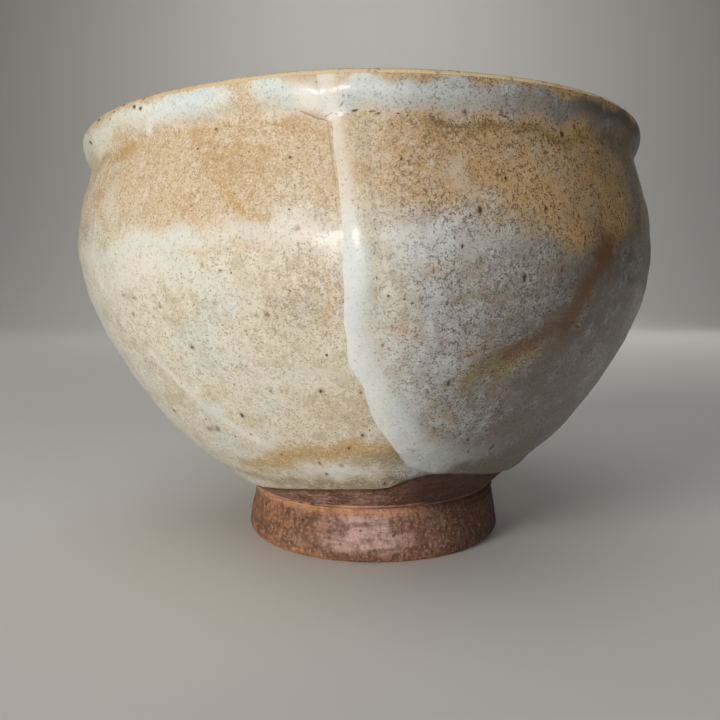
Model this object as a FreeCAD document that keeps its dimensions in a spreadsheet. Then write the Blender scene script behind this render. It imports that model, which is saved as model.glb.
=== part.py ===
import FreeCAD, Part

import os

import Sketcher

Vector = FreeCAD.Vector

# Matcha bowl: a thrown stoneware bowl on a luted, flared foot, glazed by dipping.
# Millimetres. +Z is up. The origin is on the surface the bowl stands on, under the middle of its belly.
# The thrown bowl leans slightly towards -X. The foot stands upright, a little off the bowl's axis.

DIMENSIONS = {
    # The bowl's lean, and where its own axis meets the standing surface
    "bowl_lean": 1.15,
    "bowl_axis_offset": 1.28,
    # Outer wall of the clay, from the base's edge up to the lip
    "base_edge_radius": 28.6,
    "base_edge_height": 11.2,
    "haunch_radius": 38.0,
    "haunch_height": 20.2,
    "lower_wall_radius": 41.9,
    "lower_wall_height": 22.4,
    "middle_wall_radius": 52.8,
    "middle_wall_height": 36.4,
    "belly_radius": 63.1,
    "belly_height": 56.3,
    "shoulder_radius": 61.7,
    "shoulder_height": 72.9,
    "neck_radius": 57.2,
    "neck_height": 81.7,
    "lip_swell_radius": 60.8,
    "lip_swell_height": 84.3,
    "lip_edge_radius": 59.4,
    "lip_edge_height": 86.2,
    # Lip
    "lip_outer_round_radius": 59.2,
    "lip_round_height": 86.9,
    "lip_crown_radius": 58.0,
    "lip_crown_height": 87.4,
    "lip_inner_round_radius": 56.8,
    "lip_inner_radius": 56.7,
    "lip_inner_height": 86.0,
    # Inner wall of the clay, from the lip down to the tea well
    "inner_neck_radius": 55.5,
    "inner_neck_height": 80.5,
    "inner_shoulder_radius": 58.0,
    "inner_shoulder_height": 70.9,
    "inner_belly_radius": 58.5,
    "inner_belly_height": 59.2,
    "inner_wall_radius": 53.9,
    "inner_wall_height": 47.2,
    "inner_flank_radius": 43.9,
    "inner_flank_height": 32.9,
    "inner_curve_radius": 33.1,
    "inner_curve_height": 22.3,
    "well_rim_radius": 17.1,
    "well_rim_height": 17.7,
    "well_slope_radius": 14.4,
    "well_floor_height": 16.2,
    "underside_height": 9.4,
    # Foot, measured from its own axis
    "foot_offset": 2.4,
    "foot_ring_top_height": 15.0,
    "foot_top_radius": 28.5,
    "foot_waist_radius": 27.9,
    "foot_waist_height": 9.0,
    "foot_flare_radius": 29.5,
    "foot_flare_height": 5.0,
    "foot_toe_radius": 29.7,
    "foot_toe_height": 1.3,
    "foot_toe_round_radius": 29.3,
    "foot_toe_round_height": 0.6,
    "foot_edge_radius": 28.6,
    "foot_inner_edge_radius": 25.4,
    "foot_inner_toe_radius": 24.6,
    "foot_inner_toe_height": 0.9,
    "recess_radius": 23.2,
    # Slip fillet at the joint between the foot and the bowl
    "seam_radius": 28.3,
    "seam_height": 12.1,
    "seam_thickness": 1.15,
    "seam_tilt": 3.2,
    # Glazes
    "coat_thickness": 0.6,
    "liner_thickness": 0.5,
    "liner_root_depth": 1.2,
    "glaze_top_height": 85.6,
    "first_hem_height": 15.6,
    "first_hem_tilt": -2.5,
    "second_hem_height": 20.0,
    "second_hem_tilt": 3.0,
    "dip_edge_offset": 3.7,
    "dip_edge_height": 64.0,
    "dip_edge_yaw": -5.7,
    "dip_edge_tilt": -9.9,
    "dip_overlap": 9.0,
    "dip_weld": 1.2,
    "rim_dip_height": 79.4,
    "rim_dip_tilt": -2.0,
    "pool_radius": 20.0,
    "pool_bottom_height": 15.0,
    "pool_level": 17.7,
    # Boxes that stand for the glaze bath's surface
    "bath_size": 200.0,
}

doc = FreeCAD.newDocument("matcha_bowl")

sheet = doc.addObject("Spreadsheet::Sheet", "dimensions")
for row, (alias, value) in enumerate(DIMENSIONS.items(), start=1):
    sheet.set(f"A{row}", alias.replace("_", " "))
    sheet.set(f"B{row}", str(value))
    sheet.setAlias(f"B{row}", alias)
doc.recompute()


def cell(alias):
    """The value of one cell of the sheet."""
    return float(sheet.get(alias))


def value_of(expression):
    """The value of a sum of cells and numbers, such as 'belly_radius + coat_thickness'."""
    total = 0.0
    sign = 1.0
    for word in expression.split():
        if word in "+-":
            sign = 1.0 if word == "+" else -1.0
            continue
        total += sign * (cell(word) if word in DIMENSIONS else float(word))
    return total


def linked(expression):
    """The same sum as an expression that follows the sheet."""
    words = []
    for word in expression.split():
        words.append(f"dimensions.{word}" if word in DIMENSIONS else word)
    return " ".join(words)


# Profiles are drawn in the plane of the axis: each point is (radius, height), both given as sums of cells.


def new_profile(label):
    """A body with an empty sketch in its own XZ plane."""
    body = doc.addObject("PartDesign::Body", label)
    body.Label = label
    sketch = body.newObject("Sketcher::SketchObject", label + "_profile")
    plane = next(item for item in body.Origin.OriginFeatures if item.Role == "XZ_Plane")
    sketch.AttachmentSupport = [(plane, "")]
    sketch.MapMode = "FlatFace"
    return body, sketch


def bind_point(sketch, geometry, position, point):
    """Ties one point of the sketch to the sheet, as a radius and a height."""
    for kind, expression in zip(("DistanceX", "DistanceY"), point):
        constraint = Sketcher.Constraint(kind, -1, 1, geometry, position, value_of(expression))
        index = sketch.addConstraint(constraint)
        sketch.setExpression(f"Constraints[{index}]", linked(expression))


def draw_line(sketch, start, end):
    first = Vector(value_of(start[0]), value_of(start[1]), 0)
    second = Vector(value_of(end[0]), value_of(end[1]), 0)
    return sketch.addGeometry(Part.LineSegment(first, second))


def draw_spline(sketch, points, first_is_tied):
    """A smooth curve whose control points are the given points, each tied to the sheet."""
    poles = [Vector(value_of(radius), value_of(height), 0) for radius, height in points]
    degree = 3
    spans = len(poles) - degree
    knots = [float(number) for number in range(spans + 1)]
    multiplicities = [degree + 1] + [1] * (spans - 1) + [degree + 1]
    curve = Part.BSplineCurve()
    curve.buildFromPolesMultsKnots(poles, multiplicities, knots, False, degree)
    index = sketch.addGeometry(curve)
    sketch.exposeInternalGeometry(index)
    for number, point in enumerate(points):
        if number > 0 or not first_is_tied:
            bind_point(sketch, index + 1 + number, 3, point)
    return index


def draw_profile(sketch, runs):
    """A closed outline of runs: each run is a line of two points or a smooth curve of more, end to end."""
    drawn = []
    smooth = [len(run) > 2 for run in runs]
    for number, run in enumerate(runs):
        if smooth[number]:
            drawn.append(draw_spline(sketch, run, smooth[number - 1]))
        else:
            drawn.append(draw_line(sketch, run[0], run[1]))
    for number, run in enumerate(runs):
        following = (number + 1) % len(runs)
        sketch.addConstraint(Sketcher.Constraint("Coincident", drawn[number], 2, drawn[following], 1))
        if not smooth[number] and not smooth[following]:
            bind_point(sketch, drawn[number], 2, run[1])


def revolve(body, sketch):
    """Turns the profile once round the body's own Z axis."""
    turned = body.newObject("PartDesign::Revolution", body.Label + "_turned")
    turned.Profile = sketch
    turned.ReferenceAxis = (sketch, ["V_Axis"])
    turned.Angle = 360.0
    body.Tip = turned
    return turned


def lean_with_bowl(item):
    """Places an object on the bowl's leaning axis."""
    item.Placement = FreeCAD.Placement(Vector(), FreeCAD.Rotation(Vector(0, 1, 0), -cell("bowl_lean")))
    item.setExpression("Placement.Base.x", "dimensions.bowl_axis_offset")


def turned_piece(label, runs, leaning=True):
    body, sketch = new_profile(label)
    draw_profile(sketch, runs)
    revolve(body, sketch)
    if leaning:
        lean_with_bowl(body)
    return body


def boolean(kind, label, base, tool):
    result = doc.addObject("Part::" + kind, label)
    result.Label = label
    result.Base = base
    result.Tool = tool
    result.Refine = False
    return result


# Where a bath's box lies from the point that its face passes through, as parts of its size

BEYOND = Vector(0.0, -0.5, -0.5)
BEFORE = Vector(-1.0, -0.5, -0.5)
ABOVE = Vector(-0.5, -0.5, 0.0)
BELOW = Vector(-0.5, -0.5, -1.0)


def bath(label, point, yaw, pitch, side):
    """A large box with one face through a point: what is inside it has been dipped."""
    box = doc.addObject("Part::Box", label)
    for length in ("Length", "Width", "Height"):
        box.setExpression(length, "dimensions.bath_size")
    shift = FreeCAD.Placement(side * cell("bath_size"), FreeCAD.Rotation())
    box.Placement = FreeCAD.Placement(point, FreeCAD.Rotation(yaw, pitch, 0)) * shift
    return box


# Outline points

OUTER_WALL = [
    ("base_edge_radius", "base_edge_height"),
    ("haunch_radius", "haunch_height"),
    ("lower_wall_radius", "lower_wall_height"),
    ("middle_wall_radius", "middle_wall_height"),
    ("belly_radius", "belly_height"),
    ("shoulder_radius", "shoulder_height"),
    ("neck_radius", "neck_height"),
    ("lip_swell_radius", "lip_swell_height"),
    ("lip_edge_radius", "lip_edge_height"),
]

LIP = [
    ("lip_edge_radius", "lip_edge_height"),
    ("lip_outer_round_radius", "lip_round_height"),
    ("lip_crown_radius", "lip_crown_height"),
    ("lip_inner_round_radius", "lip_round_height"),
    ("lip_inner_radius", "lip_inner_height"),
]

INNER_WALL = [
    ("lip_inner_radius", "lip_inner_height"),
    ("inner_neck_radius", "inner_neck_height"),
    ("inner_shoulder_radius", "inner_shoulder_height"),
    ("inner_belly_radius", "inner_belly_height"),
    ("inner_wall_radius", "inner_wall_height"),
    ("inner_flank_radius", "inner_flank_height"),
    ("inner_curve_radius", "inner_curve_height"),
    ("well_rim_radius", "well_rim_height"),
    ("well_slope_radius", "well_floor_height"),
    ("0", "well_floor_height"),
]


def moved(points, across="", up=""):
    """The same outline with its radii and heights changed by sums such as '+ coat_thickness'."""
    result = []
    for radius, height in points:
        result.append((radius if radius == "0" else f"{radius} {across}".strip(), f"{height} {up}".strip()))
    return result


def make_clay_body():
    """The thrown bowl: base, wall, lip and the hollow with its tea well."""
    underside_middle = ("0", "underside_height")
    runs = [
        [underside_middle, OUTER_WALL[0]],
        OUTER_WALL,
        LIP,
        INNER_WALL,
        [INNER_WALL[-1], underside_middle],
    ]
    return turned_piece("clay_body", runs)


def filled_bowl(label, growth=""):
    """The bowl's outside, filled in to the axis and grown sideways by coats of glaze."""
    wall = moved(OUTER_WALL, growth)
    bottom_middle = ("0", "base_edge_height")
    top_middle = ("0", "lip_edge_height")
    base = [bottom_middle, wall[0]]
    closing = [[wall[-1], top_middle], [top_middle, bottom_middle]]
    return turned_piece(label, [base, wall, *closing])


def make_foot_ring(clay_body):
    """The flared foot. The bowl's own base cuts its upper end, so that the two seat face to face."""
    outside = [
        ("foot_toe_radius", "foot_toe_height"),
        ("foot_flare_radius", "foot_flare_height"),
        ("foot_waist_radius", "foot_waist_height"),
        ("foot_top_radius", "foot_ring_top_height"),
    ]
    runs = [
        [("foot_inner_edge_radius", "0"), ("foot_edge_radius", "0")],
        [
            ("foot_edge_radius", "0"),
            ("foot_toe_round_radius", "0"),
            ("foot_toe_radius", "foot_toe_round_height"),
            outside[0],
        ],
        outside,
        [outside[-1], ("recess_radius", "foot_ring_top_height")],
        [("recess_radius", "foot_ring_top_height"), ("foot_inner_toe_radius", "foot_inner_toe_height")],
        [("foot_inner_toe_radius", "foot_inner_toe_height"), ("foot_inner_edge_radius", "0")],
    ]
    ring = turned_piece("foot_ring_blank", runs, leaning=False)
    ring.setExpression("Placement.Base.x", "dimensions.foot_offset")
    return boolean("Cut", "foot_ring", ring, clay_body)


def make_foot_seam(clay_body, foot_ring):
    """A bead of slip in the corner between the foot and the bowl."""
    bead = doc.addObject("Part::Torus", "seam_bead")
    bead.setExpression("Radius1", "dimensions.seam_radius")
    bead.setExpression("Radius2", "dimensions.seam_thickness")
    bead.Placement = FreeCAD.Placement(Vector(), FreeCAD.Rotation(Vector(0, 1, 0), -cell("seam_tilt")))
    bead.setExpression("Placement.Base.x", "dimensions.foot_offset")
    bead.setExpression("Placement.Base.z", "dimensions.seam_height")
    outside_bowl = boolean("Cut", "seam_outside_bowl", bead, clay_body)
    return boolean("Cut", "foot_seam", outside_bowl, foot_ring)


def make_inner_glaze(clay_body):
    """The liner glaze: a skin over the hollow that comes up over the lip and ends on its outer edge."""
    liner = moved(INNER_WALL, "- liner_thickness", "+ liner_thickness")
    root = moved(INNER_WALL, "+ liner_root_depth", "- liner_root_depth")[::-1]
    outer_end = ("lip_edge_radius + liner_thickness", "lip_edge_height")
    lip = [
        outer_end,
        ("lip_outer_round_radius + liner_thickness", "lip_round_height + liner_thickness"),
        ("lip_crown_radius", "lip_crown_height + liner_thickness"),
        ("lip_inner_round_radius - liner_thickness", "lip_round_height + liner_thickness"),
        liner[0],
    ]
    runs = [lip, liner, [liner[-1], root[0]], root, [root[-1], outer_end]]
    return boolean("Cut", "inner_glaze", turned_piece("liner_envelope", runs), clay_body)


def make_pooled_glaze(clay_body, inner_glaze):
    """The glaze that ran down and pooled level in the tea well."""
    pool = doc.addObject("Part::Cylinder", "pool")
    pool.setExpression("Radius", "dimensions.pool_radius")
    pool.setExpression("Height", "dimensions.pool_level - dimensions.pool_bottom_height")
    pool.setExpression("Placement.Base.x", "dimensions.bowl_axis_offset")
    pool.setExpression("Placement.Base.z", "dimensions.pool_bottom_height")
    above_clay = boolean("Cut", "pool_above_clay", pool, clay_body)
    return boolean("Cut", "pooled_glaze", above_clay, inner_glaze)


def dip_edge_point(shift):
    """A point on the plane where a dip ends, moved along +X by a shift."""
    return Vector(cell("dip_edge_offset") + shift, 0, cell("dip_edge_height"))


def make_dips():
    """The three dips of the outside. Each later dip lies over the earlier ones where they overlap."""
    bare = filled_bowl("bare_bowl")
    single = filled_bowl("singly_coated_bowl", "+ coat_thickness")
    double = filled_bowl("doubly_coated_bowl", "+ coat_thickness + coat_thickness")
    top = Vector(0, 0, cell("glaze_top_height"))
    below_lip = bath("bath_below_lip", top, 0, -cell("bowl_lean"), BELOW)
    single_coat = boolean("Common", "single_coat", boolean("Cut", "single_skin", single, bare), below_lip)
    over_coat = boolean("Common", "over_coat", boolean("Cut", "second_skin", double, single), below_lip)

    rim_bath = bath("rim_bath", Vector(0, 0, cell("rim_dip_height")), 0, cell("rim_dip_tilt"), ABOVE)
    rim_dip = boolean("Common", "rim_dip_glaze", over_coat, rim_bath)
    over_coat_below_rim = boolean("Cut", "over_coat_below_rim", over_coat, rim_bath)

    yaw = cell("dip_edge_yaw")
    tilt = cell("dip_edge_tilt")
    first_edge = dip_edge_point(cell("dip_overlap"))
    weld_edge = dip_edge_point(cell("dip_overlap") + cell("dip_weld"))
    left_of_first_edge = bath("left_of_first_edge", first_edge, yaw, tilt, BEFORE)
    right_of_first_edge = bath("right_of_first_edge", first_edge, yaw, tilt, BEYOND)
    right_of_second_edge = bath("right_of_second_edge", dip_edge_point(0), yaw, tilt, BEYOND)
    left_of_weld_edge = bath("left_of_weld_edge", weld_edge, yaw, tilt, BEFORE)
    first_hem_point = Vector(0, 0, cell("first_hem_height"))
    above_first_hem = bath("above_first_hem", first_hem_point, 0, cell("first_hem_tilt"), ABOVE)
    second_hem_point = Vector(0, 0, cell("second_hem_height"))
    above_second_hem = bath("above_second_hem", second_hem_point, 0, cell("second_hem_tilt"), ABOVE)

    first_coat = boolean("Common", "first_coat", single_coat, left_of_first_edge)
    first_dip = boolean("Common", "first_dip_glaze", first_coat, above_first_hem)
    second_coat = boolean("Common", "second_coat", single_coat, right_of_first_edge)
    overlap_right = boolean("Common", "overlap_right", over_coat_below_rim, right_of_second_edge)
    overlap_band = boolean("Common", "overlap_band", overlap_right, left_of_weld_edge)
    second_whole = boolean("Fuse", "second_whole", second_coat, overlap_band)
    second_dip = boolean("Common", "second_dip_glaze", second_whole, above_second_hem)
    return [first_dip, second_dip, rim_dip]


def make_pieces():
    clay_body = make_clay_body()
    foot_ring = make_foot_ring(clay_body)
    foot_seam = make_foot_seam(clay_body, foot_ring)
    inner_glaze = make_inner_glaze(clay_body)
    pooled_glaze = make_pooled_glaze(clay_body, inner_glaze)
    return [clay_body, foot_ring, foot_seam, inner_glaze, pooled_glaze] + make_dips()


def check_and_export(pieces):
    """Stops on a failed object. Otherwise writes each piece to a file of its own."""
    doc.recompute()
    for item in doc.Objects:
        if "Invalid" in item.State or "Error" in item.State:
            raise RuntimeError(f"{item.Label} failed: {item.State}")
    os.makedirs("parts", exist_ok=True)
    for piece in pieces:
        shape = piece.Shape
        if shape.isNull() or not shape.isValid():
            raise RuntimeError(f"{piece.Label} has no valid shape")
        shape.exportStep(f"parts/{piece.Label}.step")
        box = shape.BoundBox
        spans = [(box.XMin, box.XMax), (box.YMin, box.YMax), (box.ZMin, box.ZMax)]
        places = "  ".join(f"{low:.2f} to {high:.2f}" for low, high in spans)
        print(f"{piece.Label}: {len(shape.Solids)} solid, {shape.Volume:.0f} cubic mm, {places}")


check_and_export(make_pieces())
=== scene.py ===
"""Looks of the matcha bowl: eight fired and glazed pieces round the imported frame.

Lengths are in millimetres until a mesh is made. A place on the wall is given by its azimuth in degrees,
from the front (-Y) towards the right (+X), and by its height along the bowl's own leaning axis.
"""

import math

import bpy
import numpy as np
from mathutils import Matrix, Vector


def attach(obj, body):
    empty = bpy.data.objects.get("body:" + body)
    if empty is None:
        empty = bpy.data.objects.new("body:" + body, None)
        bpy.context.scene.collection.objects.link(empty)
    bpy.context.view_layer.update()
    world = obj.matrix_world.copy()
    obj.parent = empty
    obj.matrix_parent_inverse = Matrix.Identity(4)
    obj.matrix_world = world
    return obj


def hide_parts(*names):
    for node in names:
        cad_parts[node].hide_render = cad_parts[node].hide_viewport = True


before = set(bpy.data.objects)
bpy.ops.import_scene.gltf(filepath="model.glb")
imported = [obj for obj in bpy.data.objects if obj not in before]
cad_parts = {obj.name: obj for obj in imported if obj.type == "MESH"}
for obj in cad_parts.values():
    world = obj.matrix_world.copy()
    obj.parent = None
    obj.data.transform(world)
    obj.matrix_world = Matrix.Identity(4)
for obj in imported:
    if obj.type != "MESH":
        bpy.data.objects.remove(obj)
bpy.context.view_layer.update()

MM = 0.001

# ----------------------------------------------------------------------------
# The thrown form. These are the control points of the CAD outlines, as (radius, height). Those of the two
# walls came out of scratch fits, to the photo's outline and to an inside chosen by hand, and were rounded.

OUTER_WALL = [
    (28.6, 11.2), (38, 20.2), (41.9, 22.4), (52.8, 36.4), (63.1, 56.3), (61.7, 72.9), (57.2, 81.7),
    (60.8, 84.3), (59.4, 86.2),
]
LIP = [(59.4, 86.2), (59.2, 86.9), (58, 87.4), (56.8, 86.9), (56.7, 86)]
INNER_WALL = [
    (56.7, 86), (55.5, 80.5), (58, 70.9), (58.5, 59.2), (53.9, 47.2), (43.9, 32.9), (33.1, 22.3),
    (17.1, 17.7), (14.4, 16.2), (0, 16.2),
]
FOOT_OUTSIDE = [(29.7, 1.3), (29.5, 5), (27.9, 9), (28.5, 15)]
FOOT_TOE = [(28.6, 0), (29.3, 0), (29.7, 0.6), (29.7, 1.3)]
FOOT_INNER_TOE = (24.6, 0.9)
FOOT_INNER_EDGE = (25.4, 0.0)
FOOT_EDGE = (28.6, 0.0)
UNDERSIDE_HEIGHT = 9.4
WELL_FLOOR = 16.2
POOL_LEVEL = 17.7
SEAM_RADIUS = 28.3
SEAM_TILT = math.radians(3.2)
BOWL_LEAN = math.radians(1.15)
BOWL_AXIS_X = 1.28
FOOT_AXIS_X = 2.4
FOOT_DRAWN_IN = 0.28
GLAZE_COAT = 0.6
LINER_COAT = 0.5

# The top of the rim's dip, and where the hidden faces and the thin starts of the glaze skins lie, outwards
# from the clay's surface
RIM_DIP_TOP = 86.28
HIDDEN_FACE = -0.12
RIM_HIDDEN_FACE = 0.28
COAT_START = -0.08

# The soft bowl slumped a little as it was thrown and luted: how far its rings moved to the right and how
# much they spread, by height, and how far the lip rises or dips, by azimuth. Both tables follow a scratch
# fit to the photo's outline, thinned out and rounded. The back of the lip is a guess.
SLUMP = [
    (11, 1.5, -0.2), (20, 1.1, 0), (40, 1.1, 0.05), (50, 1, -0.05), (60, 0.4, -0.1), (66, 0, 0),
    (78, 0, 0.1), (83, 0.25, -0.2), (88, -0.4, 0.3),
]
LIP_RISE = [
    (-180, -0.1), (-130, 0.25), (-55, 0.15), (-25, -0.3), (-8, -0.1), (20, -0.3), (50, 0), (80, 0),
    (130, -0.25), (180, -0.1),
]


def smooth_curve(points, count):
    """Points along the clamped cubic B-spline that has these control points, even in its parameter."""
    poles = np.array(points, float)
    spans = len(poles) - 3
    knots = np.concatenate([np.zeros(3), np.arange(spans + 1), np.full(3, spans)]).astype(float)
    at = np.linspace(0, spans - 1e-9, count)[:, None]
    weights = ((knots[:-1] <= at) & (at < knots[1:])).astype(float)
    for degree in (1, 2, 3):
        size = weights.shape[1] - 1
        ends = knots[degree + 1:degree + 1 + size]
        rise = knots[degree:degree + size] - knots[:size]
        fall = ends - knots[1:1 + size]
        up = np.where(rise > 0, (at - knots[:size]) / np.where(rise > 0, rise, 1), 0)
        down = np.where(fall > 0, (ends - at) / np.where(fall > 0, fall, 1), 0)
        weights = up * weights[:, :size] + down * weights[:, 1:]
    return weights @ poles


def lengths(curve):
    """How far along a curve each of its points is."""
    return np.concatenate([[0], np.cumsum(np.hypot(*np.diff(curve, axis=0).T))])


def even_steps(curve, count):
    """The same curve with its points at even distances."""
    run = lengths(curve)
    at = np.linspace(0, run[-1], count)
    return np.stack([np.interp(at, run, curve[:, k]) for k in (0, 1)], 1)


def blurred(values, reach):
    """A row of samples, smoothed by a bell curve that many samples wide."""
    bell_curve = np.exp(-0.5 * (np.arange(-3 * reach, 3 * reach + 1) / reach) ** 2)
    padded = np.concatenate([np.full(3 * reach, values[0]), values, np.full(3 * reach, values[-1])])
    return np.convolve(padded, bell_curve / bell_curve.sum(), "valid")


def ease(value, low, high):
    """0 below low, 1 above high and a smooth step between."""
    t = np.clip((value - low) / (high - low), 0, 1)
    return t * t * (3 - 2 * t)


def bell(value, width):
    """1 at 0 and a smooth fall to nothing on both sides, over about twice the width."""
    return np.exp(-((value / width) ** 2))


def waves(turns):
    return np.sin(2 * math.pi * turns)


def read(table, at, value=1, key=0):
    """One column of a table, between whose rows it is interpolated by another column."""
    rows = np.array(table, float)
    return np.interp(at, rows[:, key], rows[:, value])


HEIGHT_STEP = 0.1
HEIGHTS = np.arange(8, 90, HEIGHT_STEP)
WALL = smooth_curve(OUTER_WALL, 4000)
WALL_RADIUS = blurred(read(WALL, HEIGHTS, value=0, key=1), 2)
WALL_SLOPE = np.arctan2(np.gradient(WALL_RADIUS, HEIGHT_STEP), 1.0)
SHIFT = blurred(read(SLUMP, HEIGHTS), 20)
SPREAD = blurred(read(SLUMP, HEIGHTS, value=2), 12)
ROUND = np.arange(-180, 180.1, 1.0)
RISE = blurred(read(LIP_RISE, ROUND), 6)


def wrapped(azimuth):
    """The azimuth brought between -180 and 180 degrees."""
    return (azimuth + 180.0) % 360.0 - 180.0


def wall_radius(height):
    return np.interp(height, HEIGHTS, WALL_RADIUS)


def across(azimuth, height):
    """An azimuth difference as millimetres along the wall at a height."""
    return np.radians(azimuth) * wall_radius(height)


# ----------------------------------------------------------------------------
# Smooth seeded noise over the wall, the same at both ends of a turn

BELLY_RADIUS = 62.0
LATTICE_HEIGHT = 120
LATTICE_BOTTOM = -10.0


def wall_noise(azimuth, height, cell_across, cell_up, seed):
    """Noise from -1 to 1 with lumps of the given size in millimetres on the belly."""
    count = max(3, int(round(2 * math.pi * BELLY_RADIUS / cell_across)))
    rows = int(LATTICE_HEIGHT / cell_up) + 4
    lattice = np.random.default_rng(seed).uniform(-1, 1, (count, rows))
    u = (azimuth % 360.0) / 360.0 * count
    v = np.clip((height - LATTICE_BOTTOM) / cell_up, 0, rows - 2.001)
    i = np.floor(u).astype(int)
    j = np.floor(v).astype(int)
    right = ease(u - i, 0, 1)
    up = ease(v - j, 0, 1)
    low = lattice[i % count, j] * (1 - right) + lattice[(i + 1) % count, j] * right
    high = lattice[i % count, j + 1] * (1 - right) + lattice[(i + 1) % count, j + 1] * right
    return low * (1 - up) + high * up


def rough_noise(azimuth, height, cell, seed):
    """Three sizes of noise together."""
    total = 0
    for k in range(3):
        size = cell / 2 ** k
        total = total + 0.5 ** k * wall_noise(azimuth, height, size, size, seed + k)
    return total / 1.4


# ----------------------------------------------------------------------------
# What the fire and the dipping left on the wall, and painted shade among it. A patch is (azimuth, height,
# reach across in degrees, reach up in mm, amount) and, where it is turned, its turn in degrees.

TAN_PATCHES = [
    (-30, 73, 24, 9.5, 0.62), (-18, 73.5, 5.5, 3.6, 0.55, 10), (-17, 66.8, 4.5, 3, 0.55, -25),
    (-41.5, 79.2, 4, 2.2, 0.9), (-45.5, 82.6, 3.5, 1.4, 0.7, 15), (-17.5, 83.2, 2.2, 3.4, 0.75),
    (-6.6, 73, 2.6, 8, 0.65, 8), (-56, 79.6, 5, 1.8, 0.6), (-50.5, 72, 4.2, 3.8, 0.75),
    (-11, 78.6, 7, 2.2, 0.5), (-28, 78.5, 8, 2, 0.35), (-17.5, 61.3, 4.2, 1.3, 0.42),
    (-24, 60.8, 3.2, 1.1, 0.36), (-43, 55, 5.5, 1.6, 0.3), (-36, 46, 3.5, 3.4, 0.26),
    (-31, 38.5, 3.2, 2, 0.22), (-38, 36, 6, 2, 0.2, 20), (-17, 38.4, 5, 2.5, 0.25), (-6.3, 54, 1, 4, 0.7),
    (-7, 48, 4, 8, 0.28), (-9, 35, 9, 5, 0.32), (-24, 33, 7, 4, 0.2), (-12, 56, 6, 5, 0.22),
    (2.6, 76.6, 3, 3.8, 0.7), (18, 77.6, 10, 2, 0.85), (9, 76, 5, 3, 0.6), (22, 72, 8.5, 2.1, 0.85, 4),
    (9, 69.2, 4.6, 2.2, 0.9), (24.5, 68.2, 4.6, 1.5, 0.9), (3.5, 71.2, 3.2, 2.2, 0.6),
    (14, 73.8, 4.5, 1.9, 0.6), (33, 63.3, 4.4, 2.6, 0.75), (43, 66.2, 3.2, 3.4, 0.9), (36, 77.5, 7, 3, 0.8),
    (46, 75, 4, 5, 0.5), (38, 70, 6, 4, 0.5), (10.8, 29.6, 3.6, 1.8, 0.45, -25), (4.5, 48.6, 4, 1.8, 0.42),
    (8.8, 57.6, 2.4, 1.3, 0.6), (16, 44.5, 7, 1.6, 0.3), (13, 33, 5, 3, 0.25), (9, 38, 3.5, 2.5, 0.25),
    (70, 73, 18, 8, 0.5), (105, 76, 22, 6, 0.6), (140, 71, 20, 8, 0.5), (-80, 75, 16, 7, 0.6),
    (-115, 72, 20, 8, 0.55), (-150, 76, 18, 6, 0.6), (-75, 60, 8, 2, 0.35), (-105, 48, 8, 4, 0.3),
    (-135, 58, 10, 3, 0.35), (95, 52, 8, 4, 0.35), (125, 40, 9, 4, 0.35), (155, 57, 8, 5, 0.35),
]
MILK_PATCHES = [
    (-26, 83.6, 6, 1.9, 0.8), (-34.5, 83.2, 2.4, 1, 1, 25), (-12.5, 83.6, 3.2, 2, 0.7),
    (-7.2, 83.5, 4.8, 2.5, 1, -20), (-2.6, 84.6, 3.6, 1.6, 0.7), (5.5, 83.7, 7.5, 2, 0.5),
    (-54, 82.6, 7, 2.1, 0.5), (21.4, 80.5, 1.7, 0.7, 0.6), (-44, 70.6, 2.4, 3.6, 0.4),
    (-55, 62.6, 9, 2.4, 0.45), (-40, 63, 9, 2.4, 0.5, 3), (-28, 63.2, 8, 2, 0.5), (-16, 63.6, 8, 2.4, 0.5),
    (-7, 63.2, 5, 2.6, 0.4), (-35, 58.5, 9, 2.6, 0.35, 10), (-22, 55.5, 8, 2.4, 0.3), (-46, 57, 7, 5, 0.35),
    (-9.7, 65.8, 3, 1.7, 0.6), (-26.5, 63.4, 5, 1.7, 0.45), (-26, 59.6, 2.4, 1.6, 0.4),
    (-21, 52.6, 1, 1.9, 0.6), (-20, 47.5, 0.6, 1.6, 0.5), (-37, 60.6, 6, 3.6, 0.4),
    (-50.5, 57.5, 3, 4.5, 0.4), (-32.8, 34.2, 2.2, 2.6, 0.75, -60), (-36.2, 38.6, 1.4, 2.9, 0.75, -40),
    (-28.5, 31.2, 3, 1.2, 0.7, -10), (-25, 27.9, 3.8, 1.3, 0.5), (-11.5, 40.8, 4.2, 1.3, 0.35),
    (-8.5, 22.6, 7.2, 1.6, 0.85), (-17, 23.2, 3, 1, 0.5), (-3, 41, 3, 1, 0.3), (6.2, 58.4, 3.8, 2.4, 0.45),
    (8.8, 49.4, 1.2, 3.4, 0.6), (10.2, 42.6, 3.6, 1.6, 0.4), (6.4, 36.2, 3.4, 4.4, 0.5, 20),
    (18, 24.6, 12, 2.9, 0.65), (31, 26.4, 7.5, 3, 0.6), (14.4, 69.4, 2.2, 2, 0.3), (30, 72, 3.4, 2.4, 0.25),
    (48.2, 70, 2.2, 8.5, 0.3), (12.5, 72.5, 2.2, 2.2, 0.35), (18, 61.5, 9, 2.2, 0.35),
    (6, 62.5, 6, 2.6, 0.5), (42, 56, 4.2, 5, 0.4), (28.5, 35.5, 4, 2.4, 0.4, 30), (51, 62.5, 4, 1.4, 0.4),
    (75, 83, 14, 2, 0.6), (115, 83.2, 16, 2, 0.6), (160, 83, 16, 2, 0.65), (-95, 83, 15, 2, 0.6),
    (-140, 83.2, 14, 2, 0.65), (-70, 50, 7, 6, 0.4), (-95, 36, 8, 4, 0.45), (-125, 62, 9, 3, 0.5),
    (-150, 44, 8, 6, 0.45), (80, 45, 8, 6, 0.4), (110, 60, 8, 4, 0.4), (140, 30, 9, 4, 0.5),
]
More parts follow.
